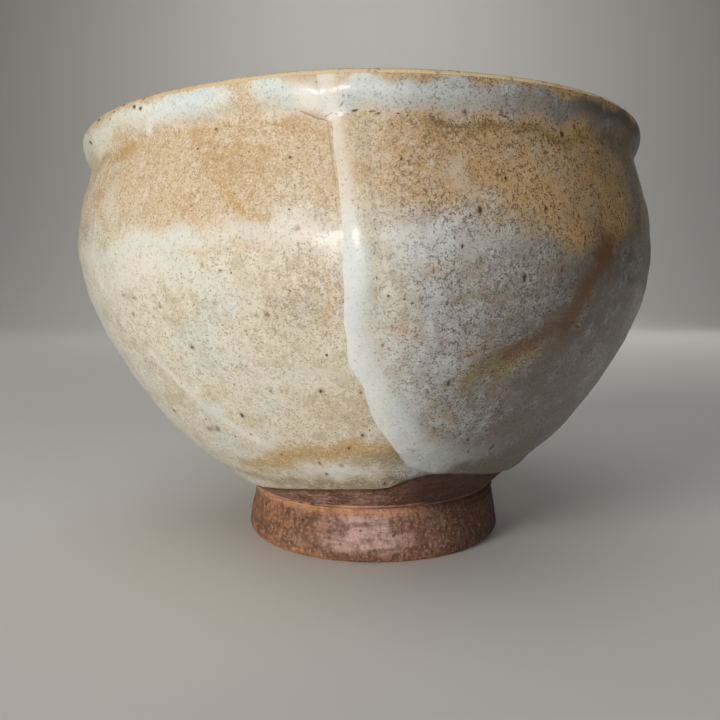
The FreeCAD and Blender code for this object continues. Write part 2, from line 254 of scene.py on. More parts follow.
BLUE_PATCHES = [
    (-40, 63, 14, 3, 0.35), (-16, 63.5, 9, 2.6, 0.4), (-52, 58, 6, 6, 0.4), (-33, 35, 8, 3, 0.5, 40),
    (12, 24, 8, 3, 0.5), (0, 55, 4, 14, 0.4), (-26, 84, 6, 2, 0.8), (-12, 84, 4, 2, 0.7),
    (4, 83.6, 8, 2.4, 0.8), (-27, 63, 4, 1.6, 0.5), (-26, 59.6, 2.2, 1.5, 0.5), (-21, 52.6, 1.2, 2.2, 0.7),
    (7, 58.5, 5, 3.4, 0.7), (8.8, 48.6, 1.8, 4, 0.8), (8, 37, 5, 5, 0.7), (20, 25, 14, 3.4, 0.6),
    (-8, 22.4, 7, 1.6, 0.35), (3, 52, 4, 12, 0.35), (16, 83, 8, 2.6, 0.6), (30, 46, 6, 5, 0.2),
    (-100, 60, 12, 8, 0.3), (110, 45, 16, 14, 0.4), (-120, 84, 20, 2, 0.6), (120, 84, 24, 2, 0.6),
    (176, 84, 10, 2, 0.6),
]
# Grey glaze, and painted shade: the patches low on the right darken where shade falls
GREY_AND_SHADE_PATCHES = [
    (24, 56.5, 8, 7.5, 0.55), (14, 55, 8, 9, 0.3), (26, 82.5, 12, 2.8, 0.6), (14, 81.2, 6, 1.6, 0.35),
    (46, 83, 9, 2.6, 0.45), (24, 61.5, 8, 2.2, 0.35), (34, 37, 8, 6, 0.3), (49, 48, 7, 9, 0.4),
    (34, 62, 9, 4, 0.4), (38, 30, 12, 4, 0.75, -10), (42, 40, 11, 8, 0.6), (34, 44, 9, 4, 0.4),
    (26, 27, 8, 3, 0.3), (56, 50, 6, 12, 0.5), (58, 72, 5, 9, 0.45), (-9, 54, 7, 7, 0.22),
    (-10, 68, 7, 5, 0.14), (-47, 43, 4.2, 3.2, 0.3), (-55, 68, 5, 2.6, 0.45), (-11.5, 51.5, 5, 4.6, 0.3),
    (-42, 42.5, 4, 2, 0.3), (24, 50, 9, 5, 0.4), (-60, 83.5, 8, 2.4, 0.35), (60, 60, 9, 12, 0.4),
    (90, 66, 12, 8, 0.35), (130, 52, 12, 10, 0.35), (-90, 44, 9, 5, 0.35), (-130, 50, 9, 6, 0.3),
    (160, 40, 9, 9, 0.35),
]
CREAM_PATCHES = [(-7.4, 83.3, 4.2, 2.4, 1, -25), (176, 82.4, 5, 2.6, 1), (-150, 82.6, 6, 2.2, 0.8)]
# Olive glaze, and painted shade: the patches low on the right, along the front's lower edge and at the right
# of the rim darken where shade falls
OLIVE_AND_SHADE_PATCHES = [
    (-20, 18.6, 42, 1.7, 0.75), (8, 19.6, 8, 1.6, 0.8), (14, 21.5, 5, 1.3, 0.6, -15),
    (49.5, 52.8, 2, 1.9, 0.9), (52, 53.6, 3, 1.2, 0.6), (-53, 79.8, 5, 1.6, 0.5), (5.3, 27, 1.6, 1, 0.7),
    (-6.3, 65.5, 1.2, 5, 0.35), (30, 22.2, 14, 1.8, 0.85), (46, 25, 12, 4, 0.8), (58, 34, 10, 10, 0.6),
    (53, 68, 2, 12, 0.6), (57, 76, 3, 6, 0.5), (-66, 70, 3.5, 10, 0.6), (38, 23.5, 12, 2.8, 0.9),
    (24, 21.6, 10, 1.4, 0.7), (57, 84, 7, 2.6, 0.9), (46, 31, 10, 4, 0.6), (44, 81.5, 8, 2, 0.4),
    (-46, 63.8, 2.4, 1, 0.4), (-95, 18.5, 30, 2, 0.7), (-150, 19, 30, 2, 0.7), (80, 21, 20, 2, 0.6),
    (130, 21.5, 26, 2.2, 0.6), (-2.8, 81.6, 1.8, 1, 0.5), (-4, 19.6, 14, 1.8, 0.5),
    (-2, 22.5, 14, 3.5, 0.22), (1, 25.2, 8, 2.2, 0.6), (20.5, 42.5, 4.5, 3.2, 0.5),
    (38, 19.2, 18, 1.8, 0.95), (62, 18, 16, 2.2, 0.9),
]
MAUVE_PATCHES = [
    (-9, 57, 5, 4.4, 0.35), (-4.5, 55, 1.3, 4.5, 0.5), (-18, 61.6, 4, 1.2, 0.4), (-57, 67.6, 4, 2.4, 0.6),
    (-45.5, 67, 2.4, 1.6, 0.4), (20, 58, 10, 5, 0.3), (-85, 54, 8, 4, 0.3), (115, 68, 12, 4, 0.3),
]
# Where the painted shade on the right side is lighter
LIGHTER_IN_PAINTED_SHADE = [(55, 63, 6, 12, 0.45), (50, 40, 5, 5, 0.25)]
# Where the rim's dip is thicker, and by how many mm
RIM_BLOBS = [
    (-7.2, 83.2, 4.2, 2.3, 0.5, -20), (-3.4, 84.6, 4.4, 1.7, 0.12), (-27, 83.6, 8, 2, 0.16),
    (7, 83.6, 8, 2.2, 0.16), (-52, 82.8, 7, 1.8, 0.2), (21.4, 80.4, 1.5, 0.7, 0.14),
    (-95, 82.6, 12, 2.2, 0.25), (-150, 82.4, 9, 2.4, 0.35), (84, 82.8, 12, 2, 0.2), (176, 82, 5, 2.6, 0.5),
    (135, 83, 12, 2, 0.2),
]

# The tan band's lower edge and strength: (azimuth, height, amount)
TAN_BAND = [
    (-180, 66, 0.5), (-140, 64, 0.6), (-100, 67, 0.45), (-66, 70, 0.6), (-50, 67.5, 0.5), (-46, 70, 0.42),
    (-40, 67, 0.45), (-30, 65.6, 0.5), (-22, 65.2, 0.6), (-14, 65, 0.62), (-10, 68, 0.55), (-5, 66, 0.7),
    (0, 68.5, 0.5), (5, 66.5, 0.62), (12, 66, 0.7), (20, 65.6, 0.75), (28, 65, 0.72), (36, 63, 0.66),
    (44, 62, 0.6), (52, 64, 0.4), (70, 66, 0.5), (100, 67, 0.6), (140, 65, 0.5), (180, 66, 0.5),
]
# How white the rim's dip is: (azimuth, amount)
RIM_WHITE = [
    (-180, 0.7), (-120, 0.6), (-80, 0.75), (-64, 0.55), (-50, 0.6), (-44, 0.45), (-39, 0.6), (-34, 0.95),
    (-24, 0.95), (-20.5, 0.8), (-18.6, 0.15), (-16.4, 0.15), (-14.6, 0.85), (-8, 1), (-1, 0.85), (8, 0.5),
    (14, 0.38), (20, 0.28), (28, 0.2), (40, 0.1), (60, 0.3), (90, 0.6), (130, 0.75), (180, 0.7),
]
# How wide the second dip's thick pale edge is and how white: (height, width in mm, amount)
PALE_EDGE = [
    (20, 9, 0.55), (25, 9, 0.6), (29, 8, 0.7), (34, 6.4, 0.8), (40, 5.2, 0.85), (46, 4.7, 0.9),
    (54, 4.3, 0.95), (60, 4.2, 0.9), (64, 3.8, 0.75), (68, 3.2, 0.6), (74, 2.8, 0.6), (80, 2.6, 0.7),
    (86, 2.6, 0.7),
]

# A stroke is ([(azimuth, height), ...], width in mm, amount).
MILK_STROKES = [
    ([(-44, 44.5), (-40, 40.5), (-37, 36.6), (-34, 33.4), (-30, 31), (-26, 29.6)], 1, 0.75),
    ([(-18, 41.2), (-12, 41.8), (-6, 42.4)], 0.9, 0.4), ([(46.5, 80), (48.5, 71), (50, 62)], 1.1, 0.4),
    ([(-16, 21.8), (-8, 22.2), (0, 22.4)], 1.1, 0.6), ([(14, 60), (20, 61.5), (27, 62)], 1, 0.3),
]
RUST_STROKES = [
    ([(40.6, 61.4), (38.6, 58.4)], 3.6, 1), ([(38.8, 59), (36.8, 55.5), (35, 52), (32.8, 49.8)], 2.9, 1),
    ([(41.5, 63), (38.5, 59), (36, 55), (34, 51.5), (31.5, 49)], 4.8, 0.6),
    ([(33.5, 50.6), (30, 48.2), (26, 46.2), (23, 44.3)], 2.3, 0.8),
    ([(9, 79.6), (15, 79.2), (22, 79), (30, 78.8), (38, 79)], 0.8, 0.35),
    ([(-43.8, 54.9), (-41.8, 54.3), (-40.2, 53.7)], 0.3, 0.9),
    ([(-40.4, 29.6), (-38.3, 30.3), (-36.3, 30.9)], 0.55, 0.8),
    ([(118, 62), (122, 55), (128, 49), (131, 42)], 2.6, 0.7), ([(-102, 66), (-99, 60), (-97, 52)], 2, 0.5),
]
GOLD_STROKES = [
    ([(-34, 23), (-28, 23.8), (-22, 24.6), (-14, 25.4), (-6, 26.6), (2, 27), (6, 26)], 2.4, 0.6),
    ([(-12, 27.2), (-6, 28), (0, 28.2)], 0.7, 0.8), ([(-14, 20.5), (-4, 20.8), (4, 21.4)], 2.2, 0.35),
    ([(-38, 23), (-33, 23.6), (-28, 23.7), (-22, 24.2)], 1.5, 0.9),
    ([(-24, 25.2), (-18, 26), (-12, 26.8), (-6, 27.6), (-1, 27.8), (4, 27.2)], 1.9, 1),
    ([(-9, 26.2), (-3, 26.6), (3, 26.2)], 1.5, 0.8),
    ([(17, 40.4), (20, 41.4), (23, 43), (27, 45.4)], 2.3, 0.95),
    ([(-21.5, 71.4), (-20.4, 69.4), (-18.6, 67.2), (-15.6, 65.9), (-13.4, 65.6)], 0.8, 0.75),
    ([(-23, 75.6), (-19, 76.2), (-14, 76)], 1.6, 0.45), ([(-47, 78.6), (-44, 79.4), (-41, 79.6)], 1.8, 0.7),
    ([(9, 79.2), (15, 78.7), (22, 78.6), (30, 78.2), (38, 78.6)], 1.3, 0.75),
    ([(-30, 80.2), (-24, 79.6), (-17, 80.2), (-11, 80.4)], 0.9, 0.4),
    ([(-70, 23.5), (-85, 24.4), (-100, 23.8)], 1.6, 0.7),
    ([(-120, 26), (-135, 25.2), (-150, 26.2), (-165, 25.6)], 1.8, 0.7),
    ([(95, 26.5), (110, 25.6), (125, 26.6)], 1.6, 0.6),
]
DARK_STROKES = [
    ([(4, 53.9), (4.8, 53.3), (5.9, 52.9)], 0.22, 1), ([(23.8, 34.9), (25.4, 33.6), (27.2, 32.8)], 0.22, 1),
    ([(-52, 86.3), (-50.4, 86)], 0.28, 0.9), ([(-38.6, 85.7), (-38.2, 85.5)], 0.26, 1),
    ([(-36.9, 85.2), (-36.4, 85.1)], 0.24, 1), ([(-45, 86.2), (-44.4, 86)], 0.22, 0.8),
    ([(-57.8, 84), (-56.8, 83.6)], 0.26, 0.8), ([(20.4, 81.4), (21.8, 81.2), (22.9, 80.4)], 0.22, 0.9),
    ([(22.9, 65.9), (23, 64.8)], 0.2, 1), ([(-3.3, 82), (-2.8, 82.4), (-2.5, 83)], 0.15, 0.6),
    ([(-5.6, 80.5), (-4.9, 80.9), (-4.1, 81.7)], 0.1, 0.3), ([(8.3, 71), (8.9, 69.6)], 0.2, 0.5),
    ([(8.1, 67.4), (8.4, 66.2)], 0.2, 0.6), ([(18.2, 61.9), (19.2, 61)], 0.2, 0.6),
    ([(14.9, 60.4), (15.6, 59.2)], 0.2, 0.6), ([(33.5, 49.4), (36.4, 48.1)], 0.4, 0.5),
    ([(5.2, 73.6), (4.7, 72.6)], 0.22, 0.7), ([(0.6, 58), (1.2, 55.4)], 0.14, 0.3),
    ([(-1.6, 81.5), (-0.8, 81.6)], 0.26, 0.5), ([(0.9, 81.2), (2.3, 80.8)], 0.22, 0.8),
    ([(4, 81), (5.6, 80.6)], 0.2, 0.7), ([(-4.8, 42.4), (-4.1, 41.2), (-3, 39.8)], 0.12, 0.3),
]
# Strokes that stand out from the clay, or lie below it, by their amount in mm
RIDGE_FACETS = [
    ([(-38.6, 42), (-36.2, 38.6), (-33.6, 35.2), (-30, 32.4), (-26, 30.6)], 4.2, 0.24),
    ([(-52, 40), (-47, 46), (-45, 54)], 5, 0.2), ([(20, 67), (34, 68.5), (50, 67)], 4, 0.16),
    ([(-14, 57), (6, 57)], 6, 0.3), ([(-110, 48), (-100, 40), (-90, 36)], 3.6, 0.3),
    ([(100, 60), (120, 57), (140, 61)], 4, 0.22),
]
GROOVES = [
    ([(40, 63.5), (36.5, 59.5), (34, 55), (32, 50.5), (28, 47.5), (23, 44), (20, 40)], 2.4, 0.4),
    ([(118, 62), (122, 55), (128, 49), (131, 42)], 2.6, 0.3),
]

# Big iron specks: (azimuth, height, radius in mm)
IRON_SPECKS = [
    (-24.3, 59.3, 0.3), (-21.4, 58.4, 0.24), (-17.5, 58.8, 0.2), (-9.1, 64, 0.3), (-34.8, 53.1, 0.3),
    (-31.2, 46.4, 0.4), (-35, 44.4, 0.32), (-15.5, 51.6, 0.45), (-17.2, 51.3, 0.26), (-19.7, 49.1, 0.24),
    (-26.9, 34.1, 0.45), (-22, 26, 0.3), (-21, 25.6, 0.24), (-13.2, 24.5, 0.32), (-8, 24.1, 0.3),
    (-18.4, 39, 0.32), (-9.2, 39, 0.32), (-2.4, 38.7, 0.24), (-2.3, 30.7, 0.36), (-8.8, 29, 0.26),
    (-15.5, 69.2, 0.3), (-14, 72.5, 0.22), (-11.2, 68.5, 0.3), (-12.3, 74.7, 0.24), (-18.5, 70.8, 0.22),
    (-22.5, 80.2, 0.26), (-1.2, 80.8, 0.22), (14.7, 81.5, 0.36), (18.1, 79.2, 0.3), (32.6, 79.4, 0.54),
    (28.2, 79.7, 0.24), (15.8, 66.2, 0.48), (26.3, 66.8, 0.33), (28.2, 67.1, 0.3), (20.1, 70.9, 0.29),
    (17, 72.4, 0.29), (10, 75, 0.22), (0.1, 76, 0.22), (11.8, 62.3, 0.24), (13, 61, 0.29),
    (8.6, 57.6, 0.32), (22.7, 56.2, 0.48), (29.6, 57.5, 0.43), (10.7, 52.7, 0.3), (15.4, 52.3, 0.3),
    (17.3, 52.9, 0.3), (1.3, 46.8, 0.3), (12.7, 40, 0.4), (15.2, 39.4, 0.26), (27.5, 29.4, 0.32),
    (28.4, 26.4, 0.54), (22.2, 26.1, 0.3), (31.4, 21.8, 0.43), (20.5, 28.7, 0.26), (17.2, 29.4, 0.22),
    (-5.6, 28.2, 0.3), (2.8, 19.5, 0.36), (-14.5, 27, 0.22), (-12.6, 21.8, 0.29), (37, 69.5, 0.29),
    (45, 70.6, 0.32), (35.6, 40.4, 0.29), (47, 33, 0.32), (41, 51.4, 0.29), (-29.5, 66, 0.22),
    (-43, 51.8, 0.36), (-49.8, 33.2, 0.43), (-27, 30.2, 0.24), (-32, 29.4, 0.24), (24, 64.2, 0.29),
    (30.6, 64.2, 0.24), (12.2, 48.6, 0.24), (19.5, 46, 0.24), (24.6, 38, 0.29), (33, 33.5, 0.29),
]
SPECKS_ROUND_THE_BACK = 70

# Edges of the dips, as (azimuth, height)
SECOND_DIP_EDGE = [
    (9, 23.1), (7.4, 24.2), (5.9, 25.6), (4.4, 27.4), (3, 29), (1.4, 31), (0, 33), (-0.9, 35), (-1.6, 37),
    (-2.4, 39.4), (-3.8, 41.5), (-4.4, 44), (-4.7, 47), (-4.7, 50.5), (-4.2, 55), (-3.9, 60), (-3.7, 65),
    (-3.8, 68), (-4, 72), (-4.6, 76), (-5.1, 80), (-5.6, 83), (-6, 85.9),
]
SECOND_DIP_BACK_EDGE = [
    (170, 21.8), (172.6, 25), (175.6, 30), (178.6, 36), (182.4, 43), (183.8, 50), (183.2, 58), (184.6, 66),
    (184, 74), (185.2, 80), (184.6, 85.9),
]
SECOND_HEM = [
    (9, 23.1), (11, 22.4), (13.4, 21.7), (16, 21), (20, 20.4), (26, 19.5), (33, 18.5), (42, 17.4),
    (52, 16.6), (64, 16.4), (80, 16.8), (98, 17.8), (115, 18.6), (132, 19.6), (148, 20.2), (160, 20.6),
    (170, 21.8),
]
FIRST_HEM = [
    (-198, 22.6), (-193, 21.9), (-189.5, 20.6), (-186, 18.6), (-181, 17), (-170, 16.2), (-150, 15.2),
    (-132, 15.6), (-115, 14.8), (-98, 15.3), (-80, 14.4), (-62, 14.3), (-46, 14.5), (-36, 15.3),
    (-28, 16.1), (-18, 16.8), (-8, 17.2), (0, 17.3), (4, 17.6), (7, 18.6), (10, 19.9), (14, 20.5),
    (19, 20.8), (24, 21.2),
]
FIRST_DIP_HIDDEN_EDGE = [
    (24, 21.2), (21, 26), (17, 32), (13, 40), (9, 50), (7, 60), (5, 70), (3.5, 80), (3, 85.9),
]
FIRST_DIP_HIDDEN_BACK_EDGE = [
    (-198, 22.6), (-194, 30), (-190, 40), (-187, 50), (-186, 60), (-186, 70), (-185.5, 80), (-185.5, 85.9),
]
RIM_DIP_EDGE = [
    (-180, 80.4), (-165, 79.4), (-150, 80.8), (-138, 79.8), (-120, 80.9), (-105, 80), (-90, 80.7),
    (-75, 80.2), (-62, 80.9), (-54, 81), (-48, 81.6), (-43, 82.6), (-38, 81.8), (-33, 81.4), (-27, 80.6),
    (-21.5, 80.2), (-19, 81.6), (-17.5, 83), (-15.6, 82), (-13.5, 81.4), (-11.2, 82), (-9.6, 81.9),
    (-8.2, 80.9), (-6.6, 80.2), (-5.2, 79.7), (-3.8, 80), (-2, 80.7), (1, 80.5), (5, 80.9), (9, 80.6),
    (13, 79.9), (18, 79.6), (23, 79.5), (28, 79.7), (33, 79.9), (38, 80.6), (44, 80.3), (52, 80.8),
    (62, 80.2), (76, 80.9), (92, 80.1), (108, 80.8), (124, 80), (140, 80.9), (156, 80.2), (168, 80.9),
    (180, 80.4),
]


def patches(table, azimuth, height):
    """How strongly a table of soft-edged patches covers each place, from 0 to 1."""
    bare = np.ones(np.shape(azimuth))
    for centre, level, reach, rise, amount, *turn in table:
        radius = float(wall_radius(level))
        along = np.radians(wrapped(azimuth - centre)) * radius
        up = height - level
        angle = math.radians(turn[0]) if turn else 0.0
        cos, sin = math.cos(angle), math.sin(angle)
        u = (along * cos + up * sin) / (math.radians(reach) * radius)
        v = (up * cos - along * sin) / rise
        bare = bare * (1 - amount * np.exp(-1.2 * (u * u + v * v) ** 1.3))
    return 1 - bare


def distance_to(path, azimuth, height):
    """The distance in millimetres along the wall from each place to the nearest point of a path."""
    nearest = np.full(np.shape(azimuth), 1e3)
    scale = np.radians(1.0) * wall_radius(height)
    for (a0, h0), (a1, h1) in zip(path[:-1], path[1:]):
        du, dv = (a1 - a0) * scale, h1 - h0
        pu, pv = wrapped(azimuth - a0) * scale, height - h0
        t = np.clip((pu * du + pv * dv) / (du * du + dv * dv), 0, 1)
        nearest = np.minimum(nearest, np.hypot(pu - t * du, pv - t * dv))
    return nearest


def to_second_dip_edge(azimuth, height):
    """The distance to the nearer side edge of the second dip."""
    front = distance_to(SECOND_DIP_EDGE, azimuth, height)
    return np.minimum(front, distance_to(SECOND_DIP_BACK_EDGE, azimuth, height))


def strokes(table, azimuth, height, softness=1.0):
    """How strongly a table of strokes covers each place, from 0 to 1."""
    covered = np.zeros(np.shape(azimuth))
    for path, width, amount in table:
        away = distance_to(path, azimuth, height)
        covered = np.maximum(covered, amount * bell(away, width * softness))
    return covered


def covered_by_second(azimuth, height):
    """1 where the second dip is the upper coat and 0 where the first is, with its drawn edge inside."""
    left = read(SECOND_DIP_EDGE, height, value=0, key=1)
    right = read(SECOND_DIP_BACK_EDGE, height, value=0, key=1)
    turn = (azimuth + 60.0) % 360.0 - 60.0
    return ((turn > left - 0.25) & (turn < right + 0.25)).astype(float)


def tan_zone(azimuth, height):
    """Where the glaze is thin and breaks to tan: a band under the neck all the way round, and patches."""
    turn = wrapped(azimuth)
    low = read(TAN_BAND, turn)
    uneven = 1.4 * wall_noise(azimuth, height, 14, 9, 51)
    band = ease(height + uneven, low - 6.0, low + 4.5) * (1 - ease(height + 0.5 * uneven, 80.5, 84))
    lumps = 1 + 0.55 * rough_noise(azimuth, height, 10, 53)
    lip = 0.9 * ease(height + 0.3 * uneven, 84.9, 86.1)
    band = np.maximum(np.clip(band * read(TAN_BAND, turn, value=2) * lumps, 0, 1), lip)
    return 1 - (1 - band) * (1 - patches(TAN_PATCHES, azimuth, height))


def rim_cover(azimuth, height):
    """How white the rim's dip is. It fades out downwards, except where it ran, and breaks in places."""
    turn = wrapped(azimuth)
    low = read(RIM_DIP_EDGE, turn)
    uneven = 0.5 * wall_noise(azimuth, height, 3.5, 2.5, 57)
    fades = ease(height + uneven, low - 0.8, low + 3.2)
    return np.clip(read(RIM_WHITE, turn) * fades * (1 - ease(height, 84.8, 86.0)), 0, 1)


def pale_edge(azimuth, height):
    """How white the second dip is along its thick edge, where it lies over the first."""
    width = read(PALE_EDGE, height) * (1 + 0.2 * wall_noise(azimuth, height, 6, 5, 59))
    fades = 1 - ease(to_second_dip_edge(azimuth, height), width * 0.55, width * 1.35)
    return read(PALE_EDGE, height, value=2) * fades * covered_by_second(azimuth, height)


def iron_specks():
    """The listed specks and some more round the back, where none are listed."""
    rng = np.random.default_rng(41)
    specks = list(IRON_SPECKS)
    for _ in range(SPECKS_ROUND_THE_BACK):
        specks.append((rng.uniform(62, 300), rng.uniform(22, 80), rng.uniform(0.22, 0.5)))
    return specks


def speck_distance(azimuth, height, squashed):
    """The distance to the nearest speck or dark stroke, in its radii. Squashed specks are taller."""
    nearest = np.full(np.shape(azimuth), 9.0)
    for centre, level, radius in iron_specks():
        up = (height - level) * (0.9 - 0.25 * squashed)
        away = np.hypot(across(wrapped(azimuth - centre), level), up)
        nearest = np.minimum(nearest, away / radius)
    for path, width, amount in DARK_STROKES:
        nearest = np.minimum(nearest, distance_to(path, azimuth, height) / (width * (0.5 + 0.5 * amount)))
    return np.clip(nearest, 0, 9)


def warped(azimuth, height, size, amount, seed):
    """Places moved about by noise, so that no mark has a drawn outline."""
    usual_radius = 60.0
    moves = []
    for first in (seed, seed + 9):
        move = amount * wall_noise(azimuth, height, size, size, first)
        moves.append(move + 0.5 * amount * wall_noise(azimuth, height, size / 2.3, size / 2.3, first + 5))
    return azimuth + np.degrees(moves[0] / usual_radius), height + moves[1]


def wall_marks(azimuth, height):
    """Every colour channel of the outer glazes, painted shade among them, by name, at each place of the wall.
    """
    turn = wrapped(azimuth)
    moved = warped(azimuth, height, 5.0, 1.0, 3)
    right = ease(turn, -2, 10) * (1 - ease(turn, 166, 178))
    # far is painted shade: it darkens the glaze round the right side, reaching further towards the front low
    # down, and is lighter in a few listed spots
    low = (1 - ease(height, 44, 60)) * (0.6 + 0.4 * ease(height, 22, 30))
    far = ease(turn + 10 * low, 8, 45) * (1 - patches(LIGHTER_IN_PAINTED_SHADE, azimuth, height))
    channels = {
        "milk": np.maximum(patches(MILK_PATCHES, *moved), strokes(MILK_STROKES, *moved)),
        "tan": tan_zone(*moved),
        "rim": rim_cover(*moved),
        "rust": strokes(RUST_STROKES, *moved),
        "gold": strokes(GOLD_STROKES, *moved, softness=1.1),
        "right": right,
        "far": far * (1 - ease(turn, 66, 100)),
        "pale": pale_edge(azimuth, height),
        "speck": speck_distance(*warped(azimuth, height, 1.6, 0.18, 71), right),
    }
    tables = {
        "blue": BLUE_PATCHES, "grey_and_shade": GREY_AND_SHADE_PATCHES, "olive_and_shade": OLIVE_AND_SHADE_PATCHES,
        "mauve": MAUVE_PATCHES, "cream": CREAM_PATCHES,
    }
    for name, table in tables.items():
        channels[name] = patches(table, *moved)
    return channels


# ----------------------------------------------------------------------------
# Relief of the wall

def body_relief(azimuth, height):
    """How far the thrown clay stands out from its turned form: throwing rings, hand marks and facets."""
    drift = 1.4 * wall_noise(azimuth, height, 60, 30, 11)
    rings = 0.045 * np.sin(2 * math.pi * (height + drift) / 8.6 + np.radians(azimuth))
    rings = rings + 0.02 * np.sin(2 * math.pi * (height + 1.7 * drift) / 3.9 + 1.0)
    hands = 0.1 * wall_noise(azimuth, height, 34, 22, 21) + 0.03 * wall_noise(azimuth, height, 11, 8, 22)
    facets = strokes(RIDGE_FACETS, azimuth, height, 1.2)
    grooves = strokes(GROOVES, azimuth, height, 1.3)
    fade = ease(height, 12, 20) * (1 - 0.6 * ease(height, 80, 86))
    return (rings + hands + facets - grooves) * fade


def glaze_relief(azimuth, height):
    """How uneven the melted glaze is by itself."""
    lumps = 0.05 * wall_noise(azimuth, height, 3.4, 3.4, 31)
    lumps = lumps + 0.03 * wall_noise(azimuth, height, 1.7, 1.7, 32)
    lumps = lumps + 0.09 * patches(MILK_PATCHES, azimuth, height)
    return lumps - 0.05 * patches(TAN_PATCHES, azimuth, height)


def upright(azimuth, radius, height, middle_x, shift=0.0):
    """Places turned about a vertical axis, as points of the row's frame."""
    turn = np.radians(azimuth)
    x = radius * np.sin(turn) + middle_x + shift
    return np.stack([x, -radius * np.cos(turn), height + 0 * radius], -1)


def in_row(azimuth, radius, height, ring_height):
    """Places turned about the bowl's leaning axis, as points of the row's frame, slumped as their ring is."""
    turn = np.radians(azimuth)
    radius = radius + np.interp(ring_height, HEIGHTS, SPREAD) * ease(radius, 2, 20)
    x = radius * np.sin(turn) + np.interp(ring_height, HEIGHTS, SHIFT)
    z = height + ease(ring_height, 70, 85) * np.interp(wrapped(np.degrees(turn)), ROUND, RISE)
    lean_x = x * math.cos(BOWL_LEAN) - z * math.sin(BOWL_LEAN) + BOWL_AXIS_X
    lean_z = x * math.sin(BOWL_LEAN) + z * math.cos(BOWL_LEAN)
    return np.stack([lean_x, -radius * np.cos(turn), lean_z], -1)


def on_wall(azimuth, height, offset):
    """Points at places on the wall, moved out from the clay by an offset."""
    slope = np.interp(height, HEIGHTS, WALL_SLOPE)
    radius = wall_radius(height) + offset * np.cos(slope)
    return in_row(azimuth, radius, height - offset * np.sin(slope), height)


# ----------------------------------------------------------------------------
# Meshes

def volume(points, faces):
    """The volume inside a closed mesh. It is negative if the faces look inwards."""
    total = 0.0
    for size in (3, 4):
        rings = np.array([face for face in faces if len(face) == size])
        for k in range(1, size - 1):
            if len(rings):
                a, b, c = points[rings[:, 0]], points[rings[:, k]], points[rings[:, k + 1]]
                total += float(np.einsum("ij,ij->i", a, np.cross(b, c)).sum()) / 6
    return total


def linked(name, data):
    """A new object in the scene."""
    made = bpy.data.objects.new(name, data)
    bpy.context.scene.collection.objects.link(made)
    return made


def smooth_mesh(name, points, faces):
    mesh = bpy.data.meshes.new(name)
    mesh.from_pydata(points, [], faces)
    mesh.polygons.foreach_set("use_smooth", [True] * len(mesh.polygons))
    return mesh


def mesh_object(name, points, faces, channels):
    """A smooth-shaded closed mesh whose faces look outwards. Points are in millimetres."""
    if volume(points, faces) < 0:
        faces = [face[::-1] for face in faces]
    mesh = smooth_mesh(name, (points * MM).tolist(), faces)
    for channel, values in channels.items():
        attribute = mesh.attributes.new(channel, "FLOAT", "POINT")
        attribute.data.foreach_set("value", np.asarray(values, np.float32).ravel())
    mesh.update()
    return linked(name, mesh)


def quads(first, columns, rows, around, flip):
    """Quads over a grid of points numbered column by column. A grid that goes around joins its two ends."""
    i = np.arange(columns if around else columns - 1)[:, None]
    j = np.arange(rows - 1)[None, :]
    k = (i + 1) % columns
    corners = [i * rows + j, k * rows + j, k * rows + j + 1, i * rows + j + 1]
    faces = np.stack([np.broadcast_to(corner, (len(i), rows - 1)) for corner in corners], -1)
    faces = faces.reshape(-1, 4) + first
    return (faces[:, ::-1] if flip else faces).tolist()


def strip(one, other, around, flip):
    """Quads that join two rows of point numbers."""
    one, other = list(one), list(other)
    if around:
        one.append(one[0])
        other.append(other[0])
    faces = [[one[i], one[i + 1], other[i + 1], other[i]] for i in range(len(one) - 1)]
    return [face[::-1] for face in faces] if flip else faces


def skin(name, outer, inner, channels, around):
    """A closed skin of glaze between two grids of points, which are shaped (columns, rows, 3)."""
    columns, rows = outer.shape[:2]
    count = columns * rows
    faces = quads(0, columns, rows, around, False) + quads(count, columns, rows, around, True)
    edges = [(range(0, count, rows), around, True), (range(rows - 1, count, rows), around, False)]
    if not around:
        edges += [(range(rows), False, False), (range(count - rows, count), False, True)]
    for edge, closed, flip in edges:
        faces += strip(edge, [k + count for k in edge], closed, flip)
    points = np.concatenate([outer.reshape(-1, 3), inner.reshape(-1, 3)])
    doubled = {key: np.concatenate([np.ravel(value), np.ravel(value)]) for key, value in channels.items()}
    return mesh_object(name, points, faces, doubled)


def along_path(path, at):
    """Places along a path at shares of its length from 0 to 1, with its corners rounded."""
    path = np.array(path, float)
    run = lengths(path)
    fine = np.linspace(0, run[-1], 1200)
    rounded = [blurred(np.interp(fine, run, path[:, k]), 14) for k in (0, 1)]
    for k in (0, 1):
        rounded[k][0], rounded[k][-1] = path[0, k], path[-1, k]
    return np.stack([np.interp(at * run[-1], fine, rounded[k]) for k in (0, 1)], -1)


def graded(count, length, near=0.12, both=True):
    """Shares from 0 to 1 whose steps shrink towards the first end or both, where an edge is rounded."""
    steps = np.ones(count)
    few = np.minimum(near * np.array([1, 1.3, 1.8, 2.4, 3.2]) / (length / count), 1)
    steps[:5] = few
    if both:
        steps[-5:] = few[::-1]
    run = np.concatenate([[0], np.cumsum(steps)])
    return run / run[-1]


def shares(one, other):
    """How far along its run each point of two matching edges is, from 0 to 1, as their mean."""
    result = 0
    for run in (lengths(one), lengths(other)):
        result = result + 0.5 * run / run[-1]
    return result


def spanned(left, right, bottom, top):
    """A grid of places between four edges that meet at their ends. Left and right run up."""
    u = shares(bottom, top)[:, None, None]
    v = shares(left, right)[None, :, None]
    grid = (1 - v) * bottom[:, None] + v * top[:, None] + (1 - u) * left[None] + u * right[None]
    grid = grid - (1 - u) * (1 - v) * bottom[0] - u * (1 - v) * bottom[-1]
    return grid - (1 - u) * v * top[0] - u * v * top[-1]


# ----------------------------------------------------------------------------
# The glazes of the outside

def rounded_edge(away, width):
    """A quarter-round rise from 0 at an edge to 1 at a width from it."""
    t = np.clip(away / width, 0, 1)
    return np.sqrt(np.clip(1 - (1 - t) ** 2, 0, 1))


